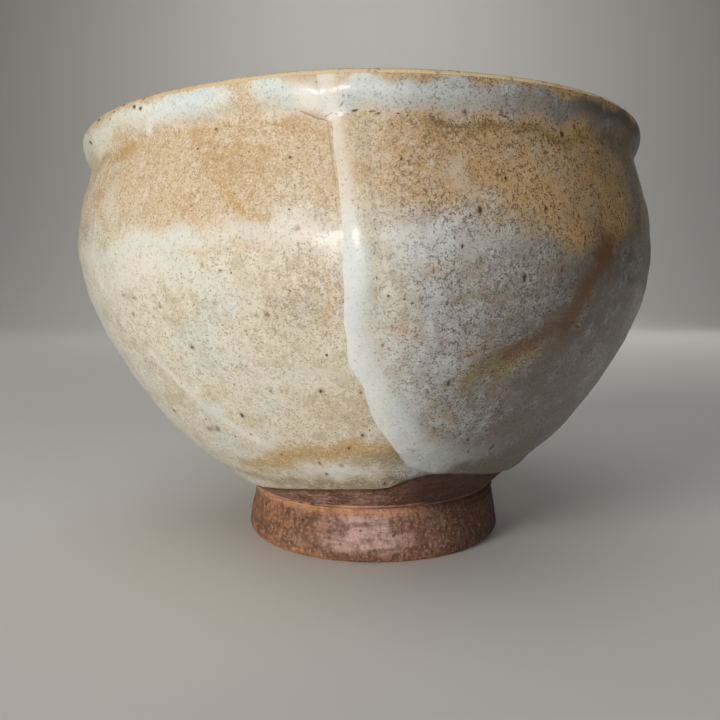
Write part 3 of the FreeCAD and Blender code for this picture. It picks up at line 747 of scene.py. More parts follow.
def first_coat(azimuth, height):
    """How far the first dip stands out from the clay."""
    away = distance_to(FIRST_HEM, azimuth, height)
    roll = 0.22 * bell(away - 1.3, 0.9)
    full = GLAZE_COAT + roll + glaze_relief(azimuth, height)
    hidden = distance_to(FIRST_DIP_HIDDEN_EDGE, azimuth, height)
    hidden = np.minimum(hidden, distance_to(FIRST_DIP_HIDDEN_BACK_EDGE, azimuth, height))
    full = full * (0.35 + 0.65 * ease(hidden, 0, 5))
    return COAT_START + (full - COAT_START) * rounded_edge(away, 0.9)


def second_coat(azimuth, height):
    """How far the second dip stands out from the clay, thickest where it ran over the first."""
    front = distance_to(SECOND_DIP_EDGE, azimuth, height)
    back = distance_to(SECOND_DIP_BACK_EDGE, azimuth, height)
    hem = distance_to(SECOND_HEM, azimuth, height)
    low = 1 - ease(height, 26, 40)
    under_rim = 1 - 0.55 * ease(height, 77, 83)
    band = 1 - 0.86 * ease(front, 3.0 + 1.5 * low, 6.6 + 3.0 * low)
    band = 0.36 * band * under_rim * (1 + 0.5 * (1 - ease(height, 26, 38)))
    back_band = 0.4 * (1 - 0.86 * ease(back, 3.4, 7.4)) * under_rim
    roll = 0.26 * bell(hem - 1.4, 1.0)
    full = GLAZE_COAT + np.maximum(band, back_band) + roll + glaze_relief(azimuth, height)
    over_first = np.maximum(1 - ease(front, 1.5, 6), 1 - ease(back, 1.5, 6)) * ease(height, 20.4, 21.6)
    start = COAT_START + 0.58 * over_first
    away = np.minimum(np.minimum(front, back), hem)
    rise = low * rounded_edge(away, 1.3) + (1 - low) * ease(away, -0.3, 2.6)
    return start + (full - start) * rise


def rim_crispness(azimuth):
    """1 where the rim's dip ends in a thick bead and 0 where it fades out."""
    beads = [bell(wrapped(azimuth - middle), width) for middle, width in ((-7, 3.4), (176, 6), (-150, 5))]
    return np.clip(beads[0] + (beads[1] + beads[2]), 0, 1)


def rim_coat(azimuth, height):
    """How far the rim's dip stands out from the clay, over the two dips below it."""
    away = distance_to(RIM_DIP_EDGE, azimuth, height)
    second = covered_by_second(azimuth, height)
    below = second * second_coat(azimuth, height) + (1 - second) * first_coat(azimuth, height)
    thick = 0.16 + patches(RIM_BLOBS, azimuth, height)
    crisp = rim_crispness(azimuth)
    rise = crisp * rounded_edge(away, 1.3) + (1 - crisp) * ease(away, -0.4, 3.6)
    return np.maximum(below - 0.03 + (thick + 0.03) * rise, 0.3)


def dressed(name, azimuth, height, offset, inside, around, edge, pale=1.0):
    """A skin of glaze over the wall. Its channels are the wall's marks and the way to the coat's edge."""
    relief = body_relief(azimuth, height)
    outer = on_wall(azimuth, height, relief + offset)
    inner = on_wall(azimuth, height, relief + inside)
    channels = wall_marks(azimuth, height)
    channels["edge"] = edge
    channels["pale"] = channels["pale"] * pale
    return skin(name, outer, inner, channels, around)


def make_dip(name, sides, hem, up, around, coat, pale=1.0):
    """The skin of one dip, between its two side edges and from its hem up to the lip."""
    left, right = (along_path(side, up) for side in sides)
    bottom, top = (along_path(path, around) for path in (hem, [left[-1], right[-1]]))
    grid = spanned(left, right, bottom, top)
    azimuth, height = grid[..., 0], grid[..., 1]
    edge = to_second_dip_edge(azimuth, height)
    return dressed(name, azimuth, height, coat(azimuth, height), HIDDEN_FACE, False, edge, pale)


def make_first_dip():
    sides = (FIRST_DIP_HIDDEN_BACK_EDGE, FIRST_DIP_HIDDEN_EDGE)
    up = graded(118, 70, both=False)
    around = np.linspace(0, 1, 371)
    return make_dip("first_dip_glaze_look", sides, FIRST_HEM, up, around, first_coat, pale=0.0)


def make_second_dip():
    sides = (SECOND_DIP_EDGE, SECOND_DIP_BACK_EDGE)
    up = np.linspace(0, 1, 125)
    return make_dip("second_dip_glaze_look", sides, SECOND_HEM, up, graded(340, 200), second_coat)


def make_rim_dip():
    azimuth = np.linspace(-180, 180, 721)[:-1]
    low = read(RIM_DIP_EDGE, azimuth)
    level = 0 * low
    low = low + 0.16 * wall_noise(azimuth, level, 1.8, 10, 61) + 0.2 * wall_noise(azimuth, level, 4, 10, 62)
    low = low[:, None]
    height = low + (RIM_DIP_TOP - low) * graded(22, 6.5, 0.09, both=False)[None, :]
    azimuth = np.broadcast_to(azimuth[:, None], height.shape)
    edge = height - low + 9 * (1 - ease(rim_crispness(azimuth), 0.2, 0.7))
    offset = rim_coat(azimuth, height)
    return dressed("rim_dip_glaze_look", azimuth, height, offset, RIM_HIDDEN_FACE, True, edge)


# ----------------------------------------------------------------------------
# Turned pieces

def outward(profile):
    """The unit normals of a profile, to the left of the way it runs."""
    along = np.gradient(profile, axis=0)
    length = np.maximum(np.hypot(along[:, 0], along[:, 1]), 1e-9)
    return np.stack([-along[:, 1] / length, along[:, 0] / length], 1)


def fan(centre, row, flip):
    """Triangles from one point to a closed row of points."""
    row = list(row)
    faces = [[centre, row[i], row[(i + 1) % len(row)]] for i in range(len(row))]
    return [face[::-1] for face in faces] if flip else faces


def turned_solid(name, points, start, end, channels):
    """A closed solid from a grid of points (columns, rows, 3) that goes around, and its two end points."""
    columns, rows = points.shape[:2]
    count = columns * rows
    faces = quads(0, columns, rows, True, False)
    faces += fan(count, range(0, count, rows), True)
    faces += fan(count + 1, range(rows - 1, count, rows), False)
    every = np.concatenate([points.reshape(-1, 3), [start, end]])
    full = {}
    for key, value in channels.items():
        value = np.broadcast_to(value, (columns, rows))
        full[key] = np.concatenate([value.ravel(), [value[:, 0].mean(), value[:, -1].mean()]])
    return mesh_object(name, every, faces, full)


def turned_ring(name, points, channels):
    """A closed ring from a grid of points that goes around both ways."""
    columns, rows = points.shape[:2]
    faces = quads(0, columns, rows, True, False)
    faces += strip(range(rows - 1, columns * rows, rows), range(0, columns * rows, rows), True, False)
    return mesh_object(name, points.reshape(-1, 3), faces, channels)


def grid_over(profile, columns):
    """The azimuths, radii and heights of a profile turned all the way round, and the profile's normals."""
    azimuth = np.broadcast_to(np.linspace(-180, 180, columns + 1)[:-1, None], (columns, len(profile)))
    radius, height = (np.broadcast_to(profile[None, :, k], azimuth.shape) for k in (0, 1))
    return azimuth, radius, height, outward(profile)


def pieced(*runs):
    """Runs of a profile joined end to end, without doubled points."""
    return np.concatenate([runs[0]] + [run[1:] for run in runs[1:]])


def straight(start, end, count):
    return np.stack([np.linspace(start[k], end[k], count) for k in (0, 1)], 1)


def clay_relief(azimuth, height, seed):
    """Grit and the drag of a trimming tool, in near-level scratches."""
    drag = wall_noise(azimuth, height, 16, 0.55, seed)
    drag = drag + 0.6 * wall_noise(azimuth, height, 34, 1.3, seed + 1)
    return 0.05 * drag + 0.03 * wall_noise(azimuth, height, 1.3, 1.3, seed + 2)


def make_clay_body():
    """The thrown bowl: its base with a turned button, its wall, its lip and its inside."""
    button_rise = 0.66
    under = straight((0.6, UNDERSIDE_HEIGHT + 0.04), OUTER_WALL[0], 70)
    outer = even_steps(WALL, 190)
    lip = even_steps(smooth_curve(LIP, 200), 12)
    inner = even_steps(smooth_curve(INNER_WALL, 2000), 90)
    profile = pieced(under, outer, lip, inner[inner[:, 0] > 0.6])[::-1]
    azimuth, radius, height, normal = grid_over(profile, 400)
    from_base = np.arange(len(profile))[::-1]
    on_base = (from_base < len(under)).astype(float)
    on_outside = (from_base < len(under) + len(outer) - 1) - on_base
    turns = 0.16 * waves(radius / 3.1 + azimuth / 360.0) * ease(radius, 3, 7) * on_base
    button = 0.7 * (1 - ease(radius, 0, 4.5)) * on_base
    bare = clay_relief(azimuth, height, 81) * (on_outside * (1 - ease(height, 20, 24)))
    relief = body_relief(azimuth, height) * on_outside + bare + turns - button
    relief = relief + 0.05 * rough_noise(azimuth, radius, 3.0, 85) * on_base
    points = in_row(azimuth, radius + relief * normal[:, 0], height + relief * normal[:, 1], height)
    start = in_row(0.0, 0.0, WELL_FLOOR, WELL_FLOOR)
    end = in_row(0.0, 0.0, UNDERSIDE_HEIGHT - button_rise, UNDERSIDE_HEIGHT)
    hem = np.minimum(distance_to(FIRST_HEM, azimuth, height), distance_to(SECOND_HEM, azimuth, height))
    # Painted shade on the bare clay: darker round the right side, with a painted shadow just under the glaze
    # hems
    painted_shade = 0.95 * ease(azimuth, -8, 24) * (1 - ease(azimuth, 100, 150)) + 0.7 * (1 - ease(hem, 0.2, 1.8))
    channels = {
        "flash": 0.3 * on_base,
        "wear_and_painted_light": 0.25 * on_outside + 0.3 * on_base,
        "painted_shade": np.clip(painted_shade, 0, 1) * on_outside,
    }
    return turned_solid("clay_body_look", points, start, end, channels)


def make_foot_ring():
    """The flared foot: a toe rubbed down by wear, a scored side with a step and a ledge, and a rough recess.
    """
    recess_top = (23.45, 11.9)
    step_height, ledge_height, hidden_top = 10.1, 11.3, 12.6
    outside = even_steps(smooth_curve(FOOT_OUTSIDE, 600), 90)
    outside = outside[outside[:, 1] < hidden_top]
    toe = even_steps(smooth_curve(FOOT_TOE, 200), 14)
    profile = pieced(
        straight(FOOT_INNER_EDGE, FOOT_EDGE, 16), toe, outside, straight(outside[-1], recess_top, 10),
        straight(recess_top, FOOT_INNER_TOE, 50), straight(FOOT_INNER_TOE, FOOT_INNER_EDGE, 6),
    )[:-1]
    azimuth, radius, height, normal = grid_over(profile, 560)
    on_outside = (radius > 27.0) * ease(height, 0.5, 1.6) * (1 - ease(height, 12.0, 12.5))
    scored = clay_relief(azimuth, height, 91) * 1.7 + 0.1 * wall_noise(azimuth, height, 20, 7, 94)
    step = 0.26 * bell(height - step_height - 0.5 * np.sin(np.radians(azimuth)), 0.42)
    ledge = 0.34 * bell(height - ledge_height, 0.5)
    toe_wear = 0.1 * rough_noise(azimuth, height, 2.4, 97)
    toe_wear = toe_wear * (1 - ease(height, 0.8, 3.0)) * ease(height, 0.05, 0.8)
    on_inside = (radius < 25.0) * ease(height, 1.0, 2.5) * (1 - ease(height, 10.6, 11.6))
    relief = -(scored + step - ledge) * on_outside - toe_wear
    relief = relief - on_inside * (clay_relief(azimuth, height, 99) * 1.4)
    drawn_in = FOOT_DRAWN_IN * ease(height, 2.5, 11.5)
    moved = radius + relief * normal[:, 0] - drawn_in
    points = upright(azimuth, moved, height + relief * normal[:, 1], FOOT_AXIS_X, drawn_in)

    # The pale patch on the foot's front is a painted pool of light; a second pale patch lies at the back
    turn = azimuth + 14 * wall_noise(azimuth, height, 9, 6, 98)
    wear_and_painted_light = bell(turn + 4, 22) * ease(height, 1.2, 3.4) * (1 - 0.5 * ease(height, 8.5, 10.5))
    edges = 1 - ease(height, 0.2, 2.2) + ease(height, 9.0, 11.0)
    # Painted shade on the foot: darker round the right side, and a painted shadow on its upper part there,
    # under the bowl
    painted_shade = 0.55 * ease(azimuth, 12, 44) + 0.5 * ease(azimuth, -6, 26) * ease(height, 7.5, 11.0)
    channels = {
        # The ledge's paler orange is partly its own colour and partly a painted highlight, which fades
        # towards the shaded right
        "ledge": bell(height - 10.7, 1.1) * (1 - 0.85 * ease(azimuth, 0, 34)),
        "flash": 0.3 + 0.4 * bell(azimuth + 52, 26) + 0.5 * edges - 0.45 * ease(azimuth, 25, 55),
        "wear_and_painted_light": wear_and_painted_light + 0.8 * bell(turn - 150, 26),
        "painted_shade": np.clip(painted_shade * (1 - ease(azimuth, 100, 150)), 0, 1),
    }
    outer_face = moved > 25.2
    channels = {name: values * outer_face for name, values in channels.items()}
    return turned_ring("foot_ring_look", points, channels)


def make_foot_seam():
    """The fillet of slip: a wavering bead that is flattened against the bowl and tilts a little."""
    columns, rows = 480, 20
    bead_radius = 0.86
    middle_radius, middle_height = 28.35, 12.0
    azimuth = np.broadcast_to(np.linspace(-180, 180, columns + 1)[:-1, None], (columns, rows))
    around = np.broadcast_to(np.linspace(0, 2 * math.pi, rows + 1)[None, :-1], azimuth.shape)
    level = azimuth * 0
    bead = 1 + 0.22 * wall_noise(azimuth, level, 9, 10, 101) + 0.12 * wall_noise(azimuth, level, 3, 10, 102)
    bead = bead_radius * bead
    rise = 0.25 * wall_noise(azimuth, level, 22, 10, 103) + 0.12 * wall_noise(azimuth, level, 6, 10, 104)
    radius = middle_radius - FOOT_DRAWN_IN + bead * np.cos(around) * 1.15
    tilt = np.sin(np.radians(azimuth)) * SEAM_RADIUS * math.sin(SEAM_TILT)
    up = middle_height + rise + bead * 0.85 * np.sin(around) + tilt
    points = upright(azimuth, radius, up, FOOT_AXIS_X, FOOT_DRAWN_IN)
    channels = {
        "flash": 0.5 + 0.5 * wall_noise(azimuth, level, 14, 10, 105),
        # Painted shade on the right side of the fillet
        "painted_shade": 0.9 * ease(azimuth, -4, 26) * (1 - ease(azimuth, 100, 150)),
    }
    return turned_ring("foot_seam_look", points, channels)


def liner_profiles():
    """The liner's open face and its hidden face, from the lip's outer edge to the middle of the well."""
    edge = [(59.86, 86.2), (59.66, 87.4), (58.0, 87.9), (56.35, 87.4), (56.2, 86.5)]
    wall = [(max(radius - LINER_COAT, 0.0), height + LINER_COAT) for radius, height in INNER_WALL]
    face = pieced(even_steps(smooth_curve(edge, 400), 20), even_steps(smooth_curve(wall, 3000), 230))
    clay = pieced(even_steps(smooth_curve(LIP, 300), 12), even_steps(smooth_curve(INNER_WALL, 3000), 120))
    back = clay + 0.25 * outward(clay)
    back[-1] = (0.0, back[-2, 1])
    return face, back


def make_inner_glaze():
    """The liner, over a spiral of throwing rings. Depth is the way down from the lip's outer edge."""
    face, back = liner_profiles()
    hidden = back[back[:, 0] > 0.5][::-1]
    profile = np.concatenate([hidden, face[face[:, 0] > 0.5]])
    azimuth, radius, height, normal = grid_over(profile, 560)
    open_face = (np.arange(len(profile)) >= len(hidden)).astype(float)
    run = lengths(profile)
    depth = np.broadcast_to(run - run[len(hidden)], azimuth.shape)
    ring = waves(depth / 7.4 + azimuth / 360.0)
    spiral = 0.12 * ring * ease(depth, 6, 14)
    spiral = spiral * (1 - ease(radius, 60, 70)) * ease(radius, 5, 18)
    hands = 0.14 * wall_noise(azimuth, depth, 30, 14, 111)
    melt = 0.06 * wall_noise(azimuth, depth, 3.2, 3.2, 112)
    lip = (1 - ease(depth, 2.6, 5.5)) * open_face
    relief = -(spiral + hands * ease(depth, 3, 8) + melt * (1 - 0.5 * lip)) * open_face * ease(radius, 1, 8)
    points = in_row(azimuth, radius + relief * normal[:, 0], height + relief * normal[:, 1], height)
    start, end = (in_row(0.0, 0.0, side[-1, 1], 16.0) for side in (back, face))
    run_down = ease(wall_noise(azimuth, depth, 5.5, 40, 113), -0.1, 0.9)
    reach = 5 + 14 * ease(wall_noise(azimuth, azimuth * 0, 7, 10, 114), -0.4, 0.8)
    channels = {
        "lip": lip,
        "drip": run_down * (1 - ease(depth, reach * 0.5, reach)) * open_face,
        "well": (1 - ease(radius, 14, 22)) * open_face,
        "ring": open_face * (0.5 + 0.5 * ring),
    }
    return turned_solid("inner_glaze_look", points, start, end, channels)


def make_pooled_glaze():
    """A level pool. Its edge is where the leaning liner comes up through its level."""
    depth = 1.35
    face, _ = liner_profiles()
    floor = face[face[:, 0] < 30][::-1]
    middle_x = BOWL_AXIS_X + float(np.interp(17, HEIGHTS, SHIFT)) - 17 * math.sin(BOWL_LEAN)
    azimuth = np.linspace(-180, 180, 241)[:-1]
    edge = []
    for turn in np.radians(azimuth):
        row_height = floor[:, 1] * math.cos(BOWL_LEAN) + floor[:, 0] * math.sin(turn) * math.sin(BOWL_LEAN)
        edge.append(floor[np.argmax(row_height > POOL_LEVEL), 0])
    edge = blurred(np.array(edge), 3)[:, None]
    share = np.concatenate([np.linspace(0.04, 0.9, 20), [0.93, 0.96, 0.98, 1.0]])[None, :]
    top = POOL_LEVEL + 0.3 * share ** 14 + 0.02 * np.sin(6 * share)
    under = POOL_LEVEL - depth + 0.9 * share ** 6
    radius = np.concatenate([edge * share, (edge + 0.35) * share[:, ::-1]], 1)[:, ::-1]
    height = np.concatenate([top, under[:, ::-1]], 1)[:, ::-1]
    points = upright(azimuth[:, None], radius, height, middle_x)
    start, end = ([middle_x, 0, level] for level in (POOL_LEVEL - depth, POOL_LEVEL))
    return turned_solid("pooled_glaze_look", points, start, end, {"deep": 1 - radius / radius.max()})


# ----------------------------------------------------------------------------
# Materials

def linear(red, green, blue):
    """A colour given as it is seen, from 0 to 255, as the shader wants it."""
    result = []
    for part in (red, green, blue):
        part = part / 255
        result.append(part / 12.92 if part <= 0.04045 else ((part + 0.055) / 1.055) ** 2.4)
    return (*result, 1.0)


# The two dips and the rim's dip
CREAM = linear(218, 211, 188)
ROSY_CREAM = linear(228, 220, 204)
COOL_CREAM = linear(214, 219, 208)
BUFF = linear(184, 173, 137)
GREY_BLUE = linear(176, 177, 171)
BLUE_WHITE = linear(206, 210, 203)
MAUVE_GREY = linear(140, 129, 113)
MILK = linear(242, 240, 228)
PALE_BLUE = linear(214, 226, 224)
TAN = linear(206, 179, 140)
DULL_TAN = linear(182, 150, 100)
OCHRE = linear(182, 142, 84)
GOLD = linear(190, 154, 84)
DULL_GOLD = linear(136, 112, 60)
RUST = linear(92, 56, 8)
OLIVE = linear(128, 114, 68)
# Olive made darker on the right side, partly as painted shade
DARK_OLIVE_AND_SHADE = linear(88, 74, 44)
GREY = linear(116, 106, 92)
MAUVE = linear(176, 154, 138)
# The colour of the painted shade on the glaze's right side
SHADED = linear(62, 51, 33)
WARM_FLECK = linear(150, 122, 80)
DARK_FLECK = linear(76, 66, 48)
PALE_FLECK = linear(234, 230, 216)
COOL_FLECK = linear(206, 210, 206)
SPECK_BROWN = linear(78, 58, 34)
SPECK_HALO = linear(156, 112, 62)
IRON = linear(56, 38, 20)
FIRST_SEAM = linear(140, 106, 64)
SECOND_SEAM = linear(132, 100, 64)
RIM_SEAM = linear(126, 104, 70)

# The bare clay and the slip
CLAY = linear(121, 88, 68)
# Pale clay, for wear and for the painted pool of light on the foot's front
WORN_AND_PAINTED_LIGHT_CLAY = linear(206, 174, 162)
FLASHED_CLAY = linear(172, 118, 80)
SCORED_CLAY = linear(98, 70, 60)
DEEP_CLAY = linear(104, 70, 54)
PALE_GRIT = linear(208, 166, 138)
DARK_GRIT = linear(84, 58, 46)
CHIP = linear(204, 150, 106)
PIT = linear(66, 48, 40)
LEDGE_ORANGE_AND_HIGHLIGHT = linear(206, 154, 114)
# The colour of painted shade on the bare clay
PAINTED_SHADE_CLAY = linear(58, 38, 27)
SLIP = linear(160, 116, 88)
PALE_SLIP = linear(182, 136, 104)
SLIP_GRIT = linear(92, 68, 56)
FLASHED_SLIP = linear(206, 156, 118)
# The colour of painted shade on the slip
PAINTED_SHADE_SLIP = linear(64, 42, 30)

# The liner and the pool
LINER = linear(206, 190, 154)
PALE_LINER = linear(222, 214, 190)
TAN_LINER = linear(192, 156, 108)
RIDGE_TAN = linear(184, 146, 98)
WELL_GREEN = linear(176, 182, 160)
LIP_CREAM = linear(214, 192, 148)
LIP_ORANGE = linear(184, 140, 84)
LIP_BURNT = linear(120, 88, 54)
POOL_EDGE = linear(186, 190, 164)
POOL_DEEP = linear(142, 164, 142)
POOL_MILK = linear(196, 204, 184)
CRACK = linear(112, 100, 74)

FLOOR_WHITE = linear(222, 220, 215)


class Finish:
    """One material, with short calls for its nodes. Sizes of patterns are in millimetres."""

    def __init__(self, name):
        self.material = bpy.data.materials.new(name)
        self.material.use_nodes = True
        self.tree = self.material.node_tree
        self.tree.nodes.clear()
        self.shader = self.node("BsdfPrincipled", {})
        self.node("OutputMaterial", {"Surface": self.shader.outputs["BSDF"]})
        object_place = self.node("TexCoord", {}).outputs["Object"]
        scaled = self.node("VectorMath", {0: object_place, "Scale": 1 / MM}, operation="SCALE")
        self.place = scaled.outputs[0]
        self.colour = None
        self.normal = None

    def node(self, kind, inputs, **settings):
        """A new node with its settings. An input is set from a number, a colour or another node's output."""
        made = self.tree.nodes.new("ShaderNode" + kind)
        for key, value in settings.items():
            setattr(made, key, value)
        for key, value in inputs.items():
            if isinstance(value, bpy.types.NodeSocket):
                self.tree.links.new(value, made.inputs[key])
            else:
                made.inputs[key].default_value = value
        return made

    def channel(self, name):
        return self.node("Attribute", {}, attribute_name=name).outputs["Fac"]

    def math(self, operation, first, second=0.0, clamp=False):
        return self.node("Math", {0: first, 1: second}, operation=operation, use_clamp=clamp).outputs[0]

    def add(self, first, second):
        return self.math("ADD", first, second)

    def minus(self, first, second):
        return self.math("SUBTRACT", first, second)

    def times(self, first, second):
        return self.math("MULTIPLY", first, second)

    def largest(self, first, *others):
        for other in others:
            first = self.math("MAXIMUM", first, other)
        return first

    def inverse(self, value):
        return self.math("SUBTRACT", 1.0, value, clamp=True)

    def step(self, value, low, high, bottom=0.0, top=1.0):
        """A smooth step of a value from bottom, at low, to top, at high."""
        inputs = {"Value": value, "From Min": low, "From Max": high, "To Min": bottom, "To Max": top}
        return self.node("MapRange", inputs, interpolation_type="SMOOTHSTEP").outputs["Result"]

    def stretched(self, x, y, z):
        """The place on the object, with its axes scaled."""
        return self.node("VectorMath", {0: self.place, 1: (x, y, z)}, operation="MULTIPLY").outputs[0]

    def swayed(self, size, amount):
        """The place on the object, moved about by noise."""
        noise = self.node("TexNoise", {"Scale": 1.0 / size, "Detail": 1.0, "Vector": self.place})
        move = self.node("VectorMath", {0: noise.outputs["Color"], "Scale": amount}, operation="SCALE")
        return self.node("VectorMath", {0: self.place, 1: move.outputs[0]}, operation="ADD").outputs[0]

    def noise(self, size, detail=2.0, place=None, roughness=0.55):
        inputs = {"Scale": 1.0 / size, "Detail": detail, "Roughness": roughness}
        inputs["Vector"] = place or self.place
        return self.node("TexNoise", inputs).outputs["Fac"]

    def centred(self, size, detail, gain, place=None):
        """Noise about 0, made stronger by a gain."""
        return self.times(self.minus(self.noise(size, detail, place), 0.5), gain)

    def specks(self, size, radius, share, place=None):
        """Round spots of up to a radius, in a share of the cells of a size: a channel from 0 to 1."""
        cells = self.node("TexVoronoi", {"Scale": 1.0 / size, "Vector": place or self.place})
        split = self.node("SeparateColor", {0: cells.outputs["Color"]})
        reach = self.step(split.outputs[1], 0.0, 1.0, radius / size * 0.45, radius / size)
        inside = self.inverse(self.math("DIVIDE", cells.outputs["Distance"], reach))
        there = self.math("LESS_THAN", split.outputs[0], share)
        return self.times(self.step(inside, 0.05, 0.5), there)

    def mix(self, factor, first, second):
        return self.node("Mix", {0: factor, 6: first, 7: second}, data_type="RGBA").outputs[2]

    def over(self, factor, colour):
        """Lays a colour over the material's colour."""
        self.colour = self.mix(factor, self.colour, colour)

    def painted(self, name, uneven, amount, colour):
        """Lays a colour over it where a channel says, with the channel's outline broken up."""
        self.over(self.step(self.add(self.channel(name), uneven), 0.05, 1.05, 0.0, amount), colour)

    def bump(self, height, distance):
        """Adds a bump whose full height is a distance in millimetres."""
        inputs = {"Strength": 1.0, "Distance": distance * MM, "Height": height}
        if self.normal is not None:
            inputs["Normal"] = self.normal
        self.normal = self.node("Bump", inputs).outputs["Normal"]

    def finish(self, roughness, **constants):
        ends = {"Base Color": self.colour, "Roughness": roughness, "Normal": self.normal}
        for name, socket in ends.items():
            self.tree.links.new(socket, self.shader.inputs[name])
        for name, value in constants.items():
            self.shader.inputs[name.replace("_", " ")].default_value = value
        return self.material


def outer_glaze(name, grain_at_seam, seam_reach, seam_colour, coat, seam_off_tan=None):
    """A dipped glaze: thin where it breaks to tan, milky where it is thick, with iron specks all through.

    A darker seam runs along the coat's edge. It can be weaker where the glaze isn't tan.
    """
    f = Finish(name)
    milk, blue, tan = f.channel("milk"), f.channel("blue"), f.channel("tan")
    right, far, rim, pale = f.channel("right"), f.channel("far"), f.channel("rim"), f.channel("pale")
    rust, gold, cream = f.channel("rust"), f.channel("gold"), f.channel("cream")
    grain = f.centred(0.3, 1.0, 1.7)
    fleck = f.centred(0.8, 2.0, 1.3, f.swayed(2.0, 1.2))
    cloud = f.centred(8.0, 2.0, 1.4)
    fine = f.add(grain, fleck)
    broad = f.add(f.centred(2.6, 2.0, 2.1), cloud)
    fine_part = f.times(fine, 0.3)
    broad_part = f.times(broad, 0.36)

    # The glaze itself, warm from the first dip on the left and cool from the second on the right
    warm = f.mix(f.step(broad, -0.05, 0.6, 0.0, 0.75), CREAM, BUFF)
    warm = f.mix(f.step(broad, -0.5, 0.0, 0.7, 0.0), warm, ROSY_CREAM)
    warm = f.mix(f.step(f.noise(11.0, 3.0), 0.48, 0.66, 0.0, 0.65), warm, COOL_CREAM)
    cool = f.mix(f.step(broad, -0.05, 0.55, 0.0, 0.75), GREY_BLUE, MAUVE_GREY)
    cool = f.mix(f.step(broad, -0.5, 0.0, 0.75, 0.0), cool, BLUE_WHITE)
    f.colour = f.mix(right, warm, cool)
    # Painted shade: the right side is darkened, unevenly, towards a shaded colour
    f.over(f.times(far, f.add(0.86, f.times(broad, 0.35))), SHADED)
    # Grey glaze, partly painted shade low on the right
    f.painted("grey_and_shade", fine_part, 0.85, GREY)
    f.painted("mauve", fine_part, 0.8, MAUVE)
    thin = f.add(tan, f.add(broad_part, fine_part))
    f.over(f.step(thin, -0.1, 1.15, 0.0, 0.97), f.mix(right, TAN, DULL_TAN))
    f.over(f.step(f.add(thin, cloud), 0.75, 1.6, 0.0, 0.8), OCHRE)
    f.painted("gold", fine_part, 0.85, f.mix(right, GOLD, DULL_GOLD))
    # Olive glaze, partly painted shade, darker on the right side
    f.painted("olive_and_shade", fine_part, 0.85, f.mix(right, OLIVE, DARK_OLIVE_AND_SHADE))
    f.painted("rust", f.times(fine, 0.35), 0.92, RUST)

    # Where it is thick and white
    blueness = f.add(f.times(cloud, 0.5), f.times(f.largest(rim, pale), 0.5))
    blueness = f.add(f.add(blue, f.times(right, 0.4)), blueness)
    white = f.mix(f.step(f.minus(blueness, cream), -0.25, 1.1), MILK, PALE_BLUE)
    # The thick white is weaker in the painted shade
    unshaded = f.inverse(f.times(far, 0.75))
    thick = f.add(f.times(f.largest(milk, rim, pale), unshaded), f.add(broad_part, f.times(fine, 0.55)))
    f.over(f.step(thick, 0.0, 1.1, 0.0, 0.92), white)

    # Flecks and specks, which the thick white hides
    covered = f.largest(f.times(f.largest(milk, rim), 0.5), f.times(pale, 0.75), f.times(cream, 0.9))
    bare = f.inverse(covered)
    # Pale flecks fade in the painted shade and under rust, and dark flecks grow denser in the painted shade
    lit = f.times(f.inverse(f.times(far, 0.9)), f.inverse(rust))
    pale_flecks = f.times(f.step(fine, -0.5, -0.05, 0.42, 0.0), f.add(0.4, f.times(bare, 0.6)))
    f.over(f.times(pale_flecks, lit), f.mix(right, PALE_FLECK, COOL_FLECK))
    share = f.add(0.5, f.add(f.times(right, 0.2), f.times(far, 0.25)))
    f.over(f.times(f.step(fine, 0.0, 0.36), f.times(bare, share)), f.mix(right, WARM_FLECK, DARK_FLECK))
    worms = f.step(f.math("ABSOLUTE", f.centred(1.0, 1.0, 1.0, f.swayed(1.6, 0.8))), 0.0, 0.03, 1.0, 0.0)
    worms = f.times(worms, f.step(f.centred(1.5, 1.0, 1.0), 0.04, 0.13))
    dots = f.largest(f.times(f.specks(0.8, 0.24, 0.5, f.swayed(1.4, 0.7)), 0.6), f.specks(3.0, 0.34, 0.4))
    dots = f.largest(dots, f.times(worms, f.add(0.25, f.times(right, 0.75))))
    dots = f.times(dots, f.add(0.15, f.times(bare, 0.75)))
    f.over(dots, SPECK_BROWN)
    near = f.add(f.channel("speck"), f.times(fine, 0.4))
    f.over(f.times(f.step(near, 0.7, 2.2, 0.5, 0.0), f.inverse(f.times(right, 0.7))), SPECK_HALO)
    f.over(f.step(near, 0.6, 1.15, 0.92, 0.0), IRON)

    edge = f.add(f.channel("edge"), f.times(fine, grain_at_seam))
    seam = f.step(edge, *seam_reach, 0.0)
    if seam_off_tan is not None:
        seam = f.times(seam, f.step(tan, 0.1, 0.5, seam_off_tan, 1.0))
    f.over(seam, seam_colour)

    f.bump(f.noise(1.9, 2.0), 0.045)
    f.bump(f.noise(0.75, 2.0), 0.04)
    f.bump(f.minus(f.times(grain, 0.5), dots), 0.018)
    rough = f.add(f.step(grain, -0.2, 0.2, 0.36, 0.5), f.times(f.largest(rust, gold, tan), 0.06))
    return f.finish(rough, Coat_Weight=coat, Coat_Roughness=0.2, IOR=1.5)


